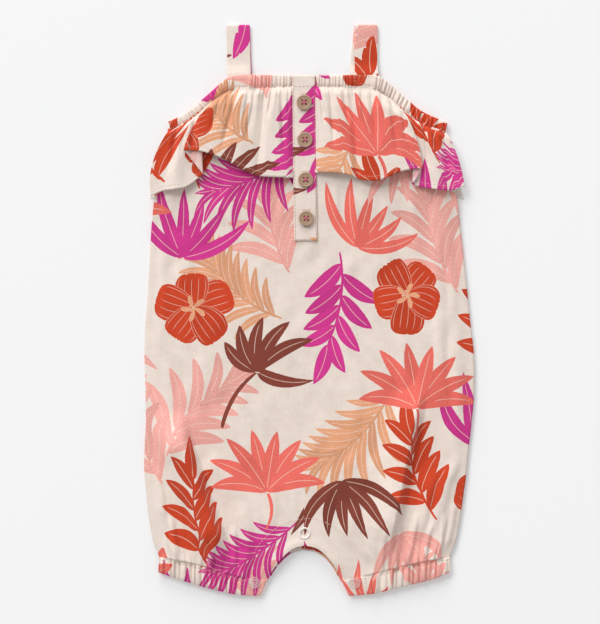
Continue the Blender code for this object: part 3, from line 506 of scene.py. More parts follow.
def crease_relief(creases: Table, x: Array, y: Array, strongest: bool = False,
                  left: Profile = Profile.SOFT, right: Profile = Profile.SOFT) -> Array:
    """Height that a table of creases adds at a place.

    Args:
        creases: The creases.
        x: Plan positions.
        y: Plan positions.
        strongest: Keep the highest crease of those that meet, instead of their sum.
        left: Form of the creases to the left of their line.
        right: Form of the creases to the right of their line.

    Returns:
        Heights, in millimetres.
    """
    total = np.zeros(np.shape(x))
    for x0, y0, x1, y1, x2, y2, height, *reach in creases.rows:
        share = (y0 - y) / (y0 - y2)
        place = np.interp(-y, (-y0, -y1, -y2), (0.0, 1.0, 2.0))
        offset = x - through(np.array([x0, x1, x2]), place)
        away = np.clip(np.abs(offset) / np.where(offset < 0.0, *reach), 0.0, 1.0)
        inner, outer = (
            np.where(offset < 0.0, *powers) for powers in zip(left.value, right.value))
        fade = ease(share / FOLD_FADE) * ease((1.0 - share) / FOLD_FADE)
        one = height * (1.0 - away ** inner) ** outer * fade
        total = np.maximum(total, one) if strongest else total + one
    return total


def back_under(x: Array, y: Array) -> Array:
    """Underside of the back panel: on the surface, over the ruffle, curled at the side.

    Args:
        x: Plan positions, in millimetres.
        y: Plan positions, in millimetres.

    Returns:
        Heights, in millimetres.
    """
    step = ease((y - BACK_RUFFLE_HEM + BACK_RUFFLE_SLOPE) / BACK_RUFFLE_SLOPE)
    curl = 1.0 - ease(side_distance(x, y) / CURL_WIDTH)
    return (BACK_RUFFLE_WALL + GAP) * step + SIDE_CURL * curl


def front_top(x: Array, y: Array) -> Array:
    """Outer side of the front panel, with its large folds.

    Args:
        x: Plan positions, in millimetres.
        y: Plan positions, in millimetres.

    Returns:
        Heights, in millimetres.
    """
    inward = np.clip(side_distance(x, y) / SIDE_ROUND, 0.0, 1.0)
    room = ROOM.read("y", y, ROOM["room"]) * (1.0 - (1.0 - inward) ** 1.7)
    near = dome(crotch_distance(x, y) / CROTCH_ROUND)
    room = CROTCH_ROOM * (1.0 - near) + near * np.maximum(
        room, np.where(near < 1.0, CROTCH_ROOM, 0.0))
    folds = np.maximum(
        crease_relief(VALLEY_FOLDS, x, y, right=Profile.VALLEY),
        crease_relief(CREST_FOLDS, x, y, right=Profile.CREST))
    folds = np.maximum(folds, crease_relief(FOLDS, x, y, strongest=True))
    return back_under(x, y) + BACK_WALL + GAP + room + folds * near + FRONT_WALL


# ------------------------------------------------------------------ shader building


def paint(*display: float) -> Colour:
    """Linear colour of a paint given as three display values from 0 to 255."""
    shares = (value / 255.0 for value in display)
    return (*(s / 12.92 if s <= 0.04045 else ((s + 0.055) / 1.055) ** 2.4 for s in shares), 1.0)


def operator(operation: str, swapped: bool = False) -> Callable[..., Value]:
    """Method of Value that adds a Math node, with its own value first or, swapped, last.

    Args:
        operation: The node's operation.
        swapped: Whether its own value comes last.

    Returns:
        The method.
    """
    def apply(value: Value, *others: Value | float) -> Value:
        """Result of the node."""
        order = (*others, value) if swapped else (value, *others)
        return value.shade.value("Math", dict(enumerate(order)), operation=operation)
    return apply


class Value:
    """A number on its way through a shader; Python's operators add Math nodes."""

    def __init__(self, shade: Shade, socket: bpy.types.NodeSocket) -> None:
        """Wrap an output socket of a shader's node."""
        self.shade = shade
        self.socket = socket

    __add__ = __radd__ = operator("ADD")
    __mul__ = __rmul__ = operator("MULTIPLY")
    __sub__, __rsub__ = operator("SUBTRACT"), operator("SUBTRACT", True)
    __truediv__, __pow__ = operator("DIVIDE"), operator("POWER")
    __gt__, __lt__ = operator("GREATER_THAN"), operator("LESS_THAN")
    __abs__, sine, fract = operator("ABSOLUTE"), operator("SINE"), operator("FRACT")
    most, least = operator("MAXIMUM"), operator("MINIMUM")

    def rise(self, low: float, high: float) -> Value:
        """Smooth step from 0 at low to 1 at high."""
        inputs = {"Value": self, "From Min": low, "From Max": high}
        return self.shade.value("MapRange", inputs, interpolation_type="SMOOTHSTEP")

    def line(self, low: float, high: float) -> Value:
        """1 near 0 and, from low to high, down to 0."""
        return 1.0 - abs(self).rise(low, high)


class Shade:
    """One material with its node tree."""

    def __init__(self, name: str, **fixed: float) -> None:
        """Start a Principled material.

        Args:
            name: The material's name.
            fixed: Numbers for the shader's own sockets, with _ for a space.
        """
        self.material = bpy.data.materials.new(name)
        self.material.use_nodes = True
        self.tree = self.material.node_tree
        self.inputs = self.tree.nodes["Principled BSDF"].inputs
        for key, number in fixed.items():
            self.inputs[key.replace("_", " ")].default_value = number

    def feed(self, socket: bpy.types.NodeSocket, value: object) -> None:
        """Link a value to a socket, or set the socket to a number or colour.

        Args:
            socket: The socket.
            value: What it gets.
        """
        if isinstance(value, Value):
            self.tree.links.new(value.socket, socket)
        else:
            socket.default_value = value

    def value(self, kind: str, inputs: dict[str | int, object] | None = None,
              output: str | int = 0, **settings: object) -> Value:
        """Add any node.

        Args:
            kind: Its type, without ShaderNode.
            inputs: Values or links of its sockets, by name or number.
            output: The output to take.
            settings: Its own settings, set first; stops holds a ramp's places and colours.

        Returns:
            That output.
        """
        node = self.tree.nodes.new(f"ShaderNode{kind}")
        stops = settings.pop("stops", ())
        for key, setting in settings.items():
            setattr(node, key, setting)
        if stops:
            node.color_ramp.interpolation = "CONSTANT"
            elements = node.color_ramp.elements
            while len(elements) < len(stops):
                elements.new(0.5)
            for element, stop in zip(elements, stops):
                element.position, element.color = stop
        for key, value in (inputs or {}).items():
            self.feed(node.inputs[key], value)
        return Value(self, node.outputs[output])

    def split(self, vector: Value) -> list[Value]:
        """The three numbers of a vector."""
        first = self.value("SeparateXYZ", {0: vector})
        return [Value(self, output) for output in first.socket.node.outputs]

    def join(self, x: Value | float, y: Value | float) -> Value:
        """Vector of two numbers and 0."""
        return self.value("CombineXYZ", {0: x, 1: y, 2: 0.0})

    def map(self, name: str) -> Value:
        """UV map of the piece."""
        return self.value("UVMap", uv_map=name)

    def attribute(self, name: str) -> Value:
        """Vector attribute of the piece."""
        return self.value("Attribute", output="Vector", attribute_name=name)

    def place(self) -> Value:
        """Position on the piece."""
        return self.value("TexCoord", output="Object")

    def noise(self, vector: Value, scale: float, detail: float = 2.0) -> Value:
        """Noise from 0 to 1."""
        return self.value("TexNoise", {"Vector": vector, "Scale": scale, "Detail": detail})

    def mix(self, factor: Value | float, first: object, second: object) -> Value:
        """Blend of two colours."""
        return self.value("Mix", {0: factor, 6: first, 7: second}, 2, data_type="RGBA")

    def tone(self, colour: object, factor: Value) -> Value:
        """Colour made lighter or darker by a number round 1."""
        return self.value("VectorMath", {0: colour, "Scale": factor}, operation="SCALE")

    def finish(self, colour: object, height: Value | None = None,
               depth: float = 0.0) -> bpy.types.Material:
        """Close the material.

        Args:
            colour: Base colour.
            height: Relief from 0 to 1, or none.
            depth: What 1 of that relief measures, in metres.

        Returns:
            The material.
        """
        self.feed(self.inputs["Base Color"], colour)
        if height is not None:
            inputs = {"Height": height, "Distance": depth, "Strength": 1.0}
            self.feed(self.inputs["Normal"], self.value("Bump", inputs))
        return self.material


# ------------------------------------------------------------------ the print


class Dye(Enum):
    """Colours of the print, as display values."""

    MAGENTA = (211, 56, 142)
    ORANGE = (205, 68, 36)
    CORAL = (239, 112, 100)
    SALMON = (241, 170, 160)
    PEACH = (230, 165, 126)
    BROWN = (133, 64, 51)


class Vein(Enum):
    """Fine lines inside a shape of the print."""

    NONE = 0
    RIB = 1
    FEATHER = 2
    FAN = 3


DYES = list(Dye)
LAYERS = "abc"
GROUND = paint(238, 223, 212)
GROUND_SHADE = paint(230, 212, 201)
REVERSE = paint(243, 234, 228)
VEIN_PAINT = paint(247, 214, 196)
OUTLINE_PAINT = paint(247, 206, 184)


def girth(share: Array, belly: float, taper: float) -> Array:
    """Half width of a print shape along its length, 1 at its widest place.

    Args:
        share: Shares of its length.
        belly: Share at its widest place.
        taper: How sharply it narrows to both ends.

    Returns:
        Half widths.
    """
    share = np.clip(share, 0.001, 0.999)
    return ((share / belly) ** (taper * belly)
            * ((1.0 - share) / (1.0 - belly)) ** (taper * (1.0 - belly)))


@dataclass(frozen=True)
class Blade:
    """One shape of the print: a leaf, a petal or a stem, from its foot to its tip."""

    x: float
    y: float
    turn: float
    dye: Dye
    length: float
    width: float = 0.0
    bend: float = 0.0
    belly: float = 0.42
    taper: float = 1.7
    vein: Vein = Vein.RIB
    rank: int = 1

    def place(self, share: float) -> tuple[float, float]:
        """Point of its middle line.

        Args:
            share: Share of its length.

        Returns:
            X and Y on the flat cloth.
        """
        out = self.length * share
        side = 4.0 * self.bend * self.length * share * (1.0 - share)
        turn = math.radians(self.turn)
        return (self.x + out * math.cos(turn) - side * math.sin(turn),
                self.y + out * math.sin(turn) + side * math.cos(turn))

    def leaf(self, share: float, turn: float, *form: object, slip: float = 0.0) -> Blade:
        """Blade of its dye from a share of its line, turned from it, with its own form."""
        heading = self.turn + math.degrees(math.atan(4.0 * self.bend * (1.0 - 2.0 * share)))
        return Blade(*self.place(share + slip), heading + turn, self.dye, *form)

    def local(self, spots: Array, step: tuple[float, float]) -> Array:
        """Places as shares of its length and of its half width.

        Args:
            spots: Places on the flat cloth, (..., 2).
            step: Step of the repeat that this copy is moved by.

        Returns:
            Shares along and across, (..., 2).
        """
        x, y = spots[..., 0] - self.x - step[0], spots[..., 1] - self.y - step[1]
        turn = math.radians(self.turn)
        along = (x * math.cos(turn) + y * math.sin(turn)) / self.length
        side = -x * math.sin(turn) + y * math.cos(turn)
        spine = 4.0 * self.bend * self.length * along * (1.0 - along)
        slope = 4.0 * self.bend * (1.0 - 2.0 * along)
        return np.stack([along, (side - spine) / (np.sqrt(1.0 + slope ** 2) * self.width)], -1)

    def outside(self, local: Array) -> Array:
        """Distance from its outline, below 0 inside it.

        Args:
            local: Places as shares of its length and of its half width.

        Returns:
            Distances, in millimetres.
        """
        along, across = local[..., 0], np.abs(local[..., 1])
        beyond = np.maximum(np.maximum(-along, along - 1.0), 0.0) * self.length
        edge = (across - girth(along, self.belly, self.taper)) * self.width
        return np.where(beyond > 0.0, np.hypot(beyond, across * self.width), edge)


# Each motif grows from a root that holds its place, turn, dye and size.


def frond(root: Blade) -> list[Blade]:
    """Feathered palm frond.

    Args:
        root: Holds its place, turn, dye and, as its length, its size.

    Returns:
        Its blades.
    """
    size = root.length
    blades = [stem := root.leaf(0.0, 0.0, size * 0.92, 1.0, 0.1, 0.3, 0.5, Vein.NONE)]
    for index, side in product(range(8), (-1, 1)):
        share = 0.1 + 0.82 * index / 7
        reach = size * 0.5 * math.sin(math.pi * (0.2 + 0.66 * share)) ** 0.7
        blades.append(stem.leaf(
            share, side * (60.0 - 30.0 * share), reach * (1.0 + 0.06 * side),
            reach * 0.066 + 0.9, -side * 0.11, 0.42, 1.35, slip=0.02 * side))
    return blades + [stem.leaf(1.0, 0.0, size * 0.22, size * 0.026, slip=-0.03)]


def palm(root: Blade) -> list[Blade]:
    """Frond of few broad leaflets.

    Args:
        root: Holds its place, turn, dye and, as its length, its size.

    Returns:
        Its blades.
    """
    size = root.length
    blades = [stem := root.leaf(0.0, 0.0, size * 0.9, 1.1, 0.07, 0.3, 0.5, Vein.NONE)]
    for index, side in product(range(5), (-1, 1)):
        share = 0.08 + 0.2 * index
        reach = size * (0.6 - 0.24 * share)
        blades.append(stem.leaf(
            share, side * (50.0 - 20.0 * share), reach, reach * 0.112, -side * 0.12, 0.46, 1.2,
            Vein.FEATHER, slip=0.035 * side))
    return blades + [stem.leaf(1.0, 0.0, size * 0.34, size * 0.05, 0.05, 0.45, 1.2, slip=-0.04)]


def spray(root: Blade) -> list[Blade]:
    """Stem with broad pointed leaves in turn.

    Args:
        root: Holds its place, turn, dye and, as its length, its size.

    Returns:
        Its blades.
    """
    size = root.length
    blades = [stem := root.leaf(0.0, 0.0, size * 0.85, 0.9, 0.08, 0.25, 0.5, Vein.NONE)]
    for index in range(8):
        share, side = 0.12 + 0.76 * index / 7, 2 * (index % 2) - 1
        reach = size * (0.46 - 0.12 * share)
        blades.append(stem.leaf(
            share, side * (56.0 - 16.0 * share), reach, reach * 0.175, side * -0.07, 0.45, 1.5))
    return blades + [stem.leaf(1.0, 6.0, size * 0.38, size * 0.07, 0.06, slip=-0.02)]


def blossom(root: Blade) -> list[Blade]:
    """Open five-petalled flower with a starry middle.

    Args:
        root: Holds its place, turn, dye and, as its length, its size.

    Returns:
        Its blades.
    """
    size, core = root.length, replace(root, dye=Dye.PEACH)
    return [
        root.leaf(0.0, 72.0 * index, size * (1.0 + 0.1 * math.sin(3.0 * index + root.turn)),
                  size * 0.47, 0.05, 0.64, 0.85, Vein.FAN, 4 + index) for index in range(5)
    ] + [
        core.leaf(0.0, 72.0 * (index + 0.25), size * 0.36, size * 0.06, 0.08, 0.6, 1.2,
                  Vein.NONE, 12) for index in range(5)]


def lily(root: Blade) -> list[Blade]:
    """Flower seen from its side: a fan of long pointed petals on a stalk.

    Args:
        root: Holds its place, turn, dye and, as its length, its size.

    Returns:
        Its blades.
    """
    size = root.length
    blades = [root.leaf(0.0, 180.0, size * 0.55, 1.4, 0.12, 0.3, 0.5, Vein.NONE),
              root.leaf(0.0, 0.0, size * 0.42, size * 0.2, 0.0, 0.45, 0.9, Vein.NONE, 2)]
    for index in range(8):
        share = index / 7
        reach = size * (0.74 + 0.22 * math.sin(math.pi * share) + 0.1 * math.cos(7.0 * share))
        blades.append(root.leaf(
            0.0, (share - 0.5) * 168.0, reach, size * 0.105, 0.2 * (0.5 - share), 0.46, 1.5,
            Vein.RIB, 3 + index % 2))
    return blades


def tuft(root: Blade) -> list[Blade]:
    """Tuft of arching strap leaves.

    Args:
        root: Holds its place, turn, dye and, as its length, its size.

    Returns:
        Its blades.
    """
    size = root.length
    blades = [root.leaf(0.0, 0.0, size * 0.3, size * 0.09, 0.0, 0.45, 1.0, Vein.NONE, 3)]
    for index in range(6):
        share = index / 5 - 0.5
        reach = size * (0.72 + 0.3 * math.sin(2.6 * index + 1.0) ** 2)
        blades.append(root.leaf(
            0.0, share * 104.0, reach, size * 0.085, 0.2 * share, 0.4, 1.4, Vein.RIB, 2))
    return blades


def plume(root: Blade) -> list[Blade]:
    """Crested flower head on a long stalk, with one beak and a few upright petals.

    Args:
        root: Holds its place, turn, dye and, as its length, its size.

    Returns:
        Its blades.
    """
    size = root.length
    stem = root.leaf(0.0, 0.0, size * 0.62, 1.7, 0.1, 0.3, 0.5, Vein.NONE)
    x, y = stem.place(0.96)
    head = replace(root, x=x, y=y)
    return [stem, head.leaf(0.0, -64.0, size * 0.52, size * 0.06, -0.1, 0.3, 1.4)] + [
        head.leaf(0.0, 27.0 * index - 26.0, size * (0.58 - 0.045 * index), size * 0.062, 0.1,
                  0.48, 1.5, Vein.RIB, 2 + index % 2) for index in range(5)
    ] + [head.leaf(0.0, 22.0, size * 0.22, size * 0.075, 0.0, 0.4, 0.9, Vein.NONE, 5)]


@dataclass(frozen=True)
class Design:
    """Tropical print as a half-drop repeat of leaves and flowers on the flat cloth."""

    width: float = 248.0
    height: float = 300.0
    motifs: tuple[tuple[Callable[[Blade], list[Blade]], float, float, float, Dye, float], ...] = (
        (palm, -122.0, -114.0, 44.0, Dye.SALMON, 90.0),
        (palm, 120.0, 14.0, 106.0, Dye.SALMON, 92.0),
        (palm, -16.0, 30.0, 104.0, Dye.SALMON, 80.0),
        (frond, -22.0, -6.0, 140.0, Dye.PEACH, 82.0),
        (frond, 66.0, -60.0, 226.0, Dye.PEACH, 90.0),
        (frond, -8.0, -166.0, 210.0, Dye.MAGENTA, 86.0),
        (spray, 24.0, 46.0, 262.0, Dye.MAGENTA, 88.0),
        (spray, -88.0, -204.0, 98.0, Dye.ORANGE, 88.0),
        (spray, 110.0, -164.0, 112.0, Dye.ORANGE, 86.0),
        (tuft, -102.0, 42.0, 80.0, Dye.MAGENTA, 66.0),
        (tuft, 38.0, 50.0, 64.0, Dye.CORAL, 56.0),
        (tuft, 26.0, -134.0, 282.0, Dye.BROWN, 60.0),
        (tuft, 76.0, -176.0, 286.0, Dye.SALMON, 54.0),
        (plume, -70.0, -92.0, 56.0, Dye.BROWN, 88.0),
        (lily, 86.0, -76.0, 88.0, Dye.CORAL, 58.0),
        (lily, -34.0, -142.0, 92.0, Dye.CORAL, 56.0),
        (blossom, -92.0, 2.0, 20.0, Dye.ORANGE, 30.0),
        (blossom, 78.0, 12.0, 50.0, Dye.ORANGE, 29.0),
    )

    def copies(self, low: Array, high: Array) -> list[tuple[Blade, tuple[float, float]]]:
        """Every shape and step of the repeat that may reach a stretch of the flat cloth.

        Args:
            low: Lower corner of the stretch.
            high: Upper corner of it.

        Returns:
            Pairs of a shape and the step that it is moved by.
        """
        blades = [
            replace(blade, rank=blade.rank + 20 * order)
            for order, (draw, *root) in enumerate(self.motifs) for blade in draw(Blade(*root))]
        size = np.array([self.width, self.height])
        first = np.floor(low / size - (1.0, 1.5)).astype(int)
        last = np.ceil(high / size + 2.0).astype(int)
        steps = [(column * self.width, (row + 0.5 * (column % 2)) * self.height)
                 for column, row in product(*map(range, first, last))]
        return [(blade, step) for step in steps for blade in blades]

    def nearest(self, spots: Array, reach: float) -> tuple[Array, list[tuple]]:
        """The upper shapes that touch each place.

        Args:
            spots: Middles of the mesh's faces on the flat cloth, (faces, 2).
            reach: How far a face spreads from its middle.

        Returns:
            For each layer the number of a copy for each face (-1 for none), and the copies.
        """
        best = np.full((len(LAYERS), len(spots)), -math.inf)
        pick = np.full(best.shape, -1, int)
        low, high = spots.min(0), spots.max(0)
        copies = self.copies(low, high)
        for number, (blade, step) in enumerate(copies):
            middle = np.add(blade.place(0.5), step)
            radius = (0.5 + abs(blade.bend)) * blade.length + blade.width + reach
            if (middle + radius < low).any() or (middle - radius > high).any():
                continue
            faces = np.nonzero((np.abs(spots - middle) < radius).all(-1))[0]
            gap = blade.outside(blade.local(spots[faces], step))
            faces, gap = faces[gap < reach], gap[gap < reach]
            score, chosen = 1000.0 * blade.rank - gap, np.full(len(faces), number)
            for layer in range(len(LAYERS)):
                upper = score > best[layer, faces]
                for kept, new in ((best, score), (pick, chosen)):
                    held = kept[layer, faces]
                    kept[layer, faces] = np.where(upper, new, held)
                    new[:] = np.where(upper, held, new)
        return pick, copies

    def stamp(self, mesh: bpy.types.Mesh, flat: Array) -> None:
        """Write the print's shapes on a mesh of quads.

        Args:
            mesh: The mesh.
            flat: Places of the faces' corners on the flat cloth, (faces, 4, 2).
        """
        reach = 0.6 * float(np.median(np.linalg.norm(flat[:, 2] - flat[:, 0], axis=-1)))
        picks, copies = self.nearest(flat.mean(1), reach)
        for tag, pick in zip(LAYERS, picks):
            local = np.zeros(flat.shape)
            local[..., 1] = 9.0
            form = np.tile([0.5, 1.0, 1.0], (len(flat), 1))
            look = np.tile([0.0, 0.0, 10.0], (len(flat), 1))
            for number in np.unique(pick[pick >= 0]):
                blade, step = copies[number]
                faces = pick == number
                local[faces] = blade.local(flat[faces], step)
                form[faces] = blade.belly, blade.taper, blade.width
                tone = 0.25 + 0.25 * math.sin(2.7 * blade.turn + blade.length)
                look[faces] = DYES.index(blade.dye) + tone, blade.vein.value, blade.length
            unwrap(mesh, f"blade_{tag}", local)
            write(mesh, f"form_{tag}", "FACE", form)
            write(mesh, f"look_{tag}", "FACE", look)


@dataclass(frozen=True)
class ClothFinish:
    """Light plain-woven cloth with slubs, printed on its face."""

    name: str = "printed_face"
    ground: Colour = GROUND
    strength: float = 1.0
    thread_pitch: float = 0.52
    weave_depth: float = 0.00007
    slub: float = 0.12
    mottle: float = 0.12
    edge_soft: float = 0.16
    edge_wobble: float = 0.6
    grain: float = 0.18
    fleck: float = 0.5
    feather_pitch: float = 3.4

    def layer(self, shade: Shade, tag: str, wobble: Value) -> tuple[Value, Value, Value]:
        """One layer of the print.

        Args:
            shade: The material.
            tag: Which of the layers.
            wobble: Unevenness of the printed edges, in millimetres.

        Returns:
            Where the layer covers, its colour, and its outline.
        """
        along, across, _ = shade.split(shade.map(f"blade_{tag}"))
        belly, taper, width = shade.split(shade.attribute(f"form_{tag}"))
        dye, vein, length = shade.split(shade.attribute(f"look_{tag}"))
        share = along.most(0.001).least(0.999)
        swell = (share / belly) ** (taper * belly)
        swell = swell * ((1.0 - share) / (1.0 - belly)) ** (taper * (1.0 - belly))
        side = abs(across)
        edge = (swell - side) * width + wobble
        cover = edge.rise(-self.edge_soft, self.edge_soft) * (along > 0.0) * (along < 1.0)
        off_middle = side * width
        rib = (1.0 - off_middle.rise(0.16, 0.42)) * (1.0 - along.rise(0.78, 0.92))
        ribs = (along * length - off_middle * 1.35) / self.feather_pitch
        feather = (ribs.fract() - 0.5).line(0.05, 0.11)
        rays = across / swell * 2.4 + 0.5
        fan = ((rays.fract() - 0.5) * width).line(0.3, 0.75) * (1.0 - along.rise(0.7, 0.92))
        lines = rib * (vein > 0.5) * (vein < 2.5)
        lines = lines.most(feather * 0.5 * (vein > 1.5) * (vein < 2.5)).most(fan * (vein > 2.5))
        lines = lines * edge.rise(0.2, 0.7) * along.rise(0.03, 0.1)
        stops = [(index / 8.0, paint(*one.value)) for index, one in enumerate(DYES)]
        colour = shade.value("ValToRGB", {0: dye / 8.0 + 0.02}, stops=stops)
        colour = shade.tone(colour, 1.06 - dye.fract() * 0.34)
        colour = shade.mix(lines * 0.62, colour, VEIN_PAINT)
        return cover, colour, (edge - 0.2).line(0.12, 0.4) * (vein > 2.5)

    def material(self) -> bpy.types.Material:
        """Build the material.

        Returns:
            The material.
        """
        shade = Shade(self.name, Roughness=0.88, Specular_IOR_Level=0.22, Sheen_Weight=0.12,
                      Sheen_Roughness=0.5)
        u, v, _ = shade.split(shade.map("flat"))
        flat = shade.join(u, v)
        wobble = (shade.noise(flat, 0.35, 3.0) - 0.5) * self.edge_wobble
        blush = shade.noise(flat, 0.16, 3.0)
        base = shade.mix(blush.rise(0.35, 0.72) * 0.6, self.ground, GROUND_SHADE)
        under: Value | float = 0.0
        printed: Value | float = 0.0
        for tag in reversed(LAYERS):
            cover, colour, outline = self.layer(shade, tag, wobble)
            colour = shade.mix(outline * under * 0.55, colour, OUTLINE_PAINT)
            base = shade.mix(cover * self.strength, base, colour)
            under, printed = cover, cover.most(printed)
        slubs = [shade.noise(shade.join(u * across, v * down), 1.0, 3.0)
                 for across, down in ((0.05, 1.5), (1.5, 0.05))]
        tone = 1.0 + (slubs[0] + slubs[1] - 1.0) * self.slub
        tone = tone + (shade.noise(flat, 0.045) - 0.5) * self.mottle
        tone = tone + (shade.noise(flat, 0.9, 4.0) - 0.5) * (self.grain + printed * self.fleck)
        turn = 2.0 * math.pi / self.thread_pitch
        weave = (u * turn).sine() * (v * turn).sine() * 0.5 + 0.5
        height = weave * 0.6 + slubs[0] * 0.5 + slubs[1] * 0.5
        return shade.finish(shade.tone(base, tone), height, self.weave_depth)


# ------------------------------------------------------------------ making pieces


def unwrap(mesh: bpy.types.Mesh, name: str, corners: Array) -> None:
    """Keep a UV map with a place for each corner of each face."""
    layer = mesh.uv_layers.new(name=name, do_init=False)
    layer.data.foreach_set("uv", corners.astype(np.float32).ravel())


def write(mesh: bpy.types.Mesh, name: str, domain: str, vectors: Array) -> None:
    """Keep a vector for each face or point of a mesh."""
    attribute = mesh.attributes.new(name, "FLOAT_VECTOR", domain)
    attribute.data.foreach_set("vector", vectors.astype(np.float32).ravel())


def linked(name: str, data: bpy.types.ID) -> bpy.types.Object:
    """New object in the scene.

    Args:
        name: Its name.
        data: Its mesh or light.

    Returns:
        The object.
    """
    item = bpy.data.objects.new(name, data)
    bpy.context.scene.collection.objects.link(item)
    return item


def only(piece: bpy.types.Object | None = None) -> bpy.types.Object | None:
    """Select one object alone and make it active, or select nothing.

    Args:
        piece: The object, or none.

    Returns:
        That object.
    """
    for item in bpy.context.selected_objects:
        item.select_set(False)
    if piece:
        piece.select_set(True)
        bpy.context.view_layer.objects.active = piece
    return piece


def applied(piece: bpy.types.Object, kind: str, **settings: object) -> None:
    """Add a modifier with settings and apply it.

    Args:
        piece: The object.
        kind: The modifier's type.
        settings: The modifier's settings.
    """
    only(piece)
    modifier = piece.modifiers.new(kind.title(), kind)
    for name, value in settings.items():
        setattr(modifier, name, value)
    bpy.ops.object.modifier_apply(modifier=modifier.name)


def stands_for(piece: bpy.types.Object, node: str) -> None:
    """Let a piece ride the garment and replace its node.

    Args:
        piece: The piece.
        node: The node that it replaces.
    """
    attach(piece, "root")
    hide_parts(node)


@dataclass
class Patch:
    """Grid of cloth: its outer side, and where each point lies on the flat cloth."""

    points: Array
    flat: Array

    def faces(self, offset: int) -> Array:
        """Corner numbers of its quads, counted from an offset.

        Args:
            offset: Number of the grid's first point.

        Returns:
            Four to each quad.
        """
        rows, columns = self.points.shape[0] - 1, self.points.shape[1] - 1
        first = offset + np.arange(rows)[:, None] * (columns + 1) + np.arange(columns)
        corners = [first, first + 1, first + columns + 2, first + columns + 1]
        return np.stack(corners, -1).reshape(-1, 4)

    def cut(self) -> tuple[float, float, float]:
        """Width, length and area of the cloth that it is made of, in millimetres.

        Returns:
            The three measures, the area in square millimetres.
        """
        across, down = lengths(self.points, 1), lengths(self.points, 0)
        a, b = np.diff(self.points, axis=1)[:-1], np.diff(self.points, axis=0)[:, :-1]
        area = np.linalg.norm(np.cross(a, b), axis=-1).sum()
        return across[:, -1].max(), down[-1].max(), area


def hanging(points: Array, fabric: tuple[float, float], fullness: float = 1.0) -> Patch:
    """Lay a ruffle's grid on the flat cloth, by its hem and up to its seam.

    Args:
        points: The grid, with its hem in the first row and its seam in the last.
        fabric: Place of the seam's start on the flat cloth.
        fullness: How much wider the cloth is than the grid.

    Returns:
        The patch.
    """
    run, down = lengths(points, 1)[:1] * fullness, lengths(points, 0)
    places = np.broadcast_arrays(fabric[0] + run, fabric[1] + down - down[-1:])
    return Patch(points, np.stack(places, -1))


def seam(patches: Sequence[Patch], row: int) -> Place:
    """Find where a seam lies on the flat cloth.

    Args:
        patches: The grids that it runs along.
        row: Its row in them.

    Returns:
        Function that gives the flat places of points of the seam, from their X.
    """
    points, flat = (np.concatenate([grid[row] for grid in grids])
                    for grids in zip(*((patch.points, patch.flat) for patch in patches)))
    order = np.argsort(points[:, 0])

    def place(x: Array) -> Array:
        """Flat place of the seam at X."""
        return np.stack(
            [np.interp(x, points[order, 0], flat[order, axis]) for axis in (0, 1)], -1)
    return place


@dataclass
class Workroom:
    """Cuts and prints pieces of cloth, each of which stands for its node."""

    design: Design
    face: bpy.types.Material
    reverse: bpy.types.Material

    def make(self, name: str, node: str, held: str, patches: Sequence[Patch], wall: float,
             rests_on: Sequence[str] = (), faces_down: bool = False,
             long_first: bool = False) -> None:
        """Make a printed piece with a real wall, which stands for its node.

        Args:
            name: Name of the piece.
            node: Node that it stands for.
            held: Not used.
            patches: Grids of its outer side, which are joined where they meet.
            wall: Thickness of the cloth, in millimetres.
            rests_on: Not used.
            faces_down: The printed side looks down.
            long_first: The longer side of its cut is taken as its width.
        """
        offsets = np.cumsum([0] + [patch.points[..., 0].size for patch in patches])
        verts = np.concatenate([patch.points.reshape(-1, 3) for patch in patches]) * MM
        flats = np.concatenate([patch.flat.reshape(-1, 2) for patch in patches])
        faces = np.concatenate([patch.faces(o) for patch, o in zip(patches, offsets)])
        if faces_down:
            faces = faces[:, ::-1]
        mesh = bpy.data.meshes.new(name)
        mesh.from_pydata(verts.tolist(), [], faces.tolist())
        unwrap(mesh, "flat", flats[faces])
        self.design.stamp(mesh, flats[faces])
        bm = bmesh.new()
        bm.from_mesh(mesh)
        bmesh.ops.remove_doubles(bm, verts=bm.verts, dist=TINY)
        bm.to_mesh(mesh)
        bm.free()
        mesh.materials.append(self.face)
        mesh.materials.append(self.reverse)
        piece = linked(name, mesh)
        mesh.shade_smooth()
        applied(
            piece, "SOLIDIFY", thickness=wall * MM, offset=-1.0, use_quality_normals=True,
            material_offset=1, material_offset_rim=0)
        sizes = np.array([patch.cut() for patch in patches])
        flat = [round(sizes[:, 0].sum() * MM, 3), round(sizes[:, 1].max() * MM, 3)]
        if long_first:
            flat.sort(reverse=True)
        stands_for(piece, node)


# ------------------------------------------------------------------ body


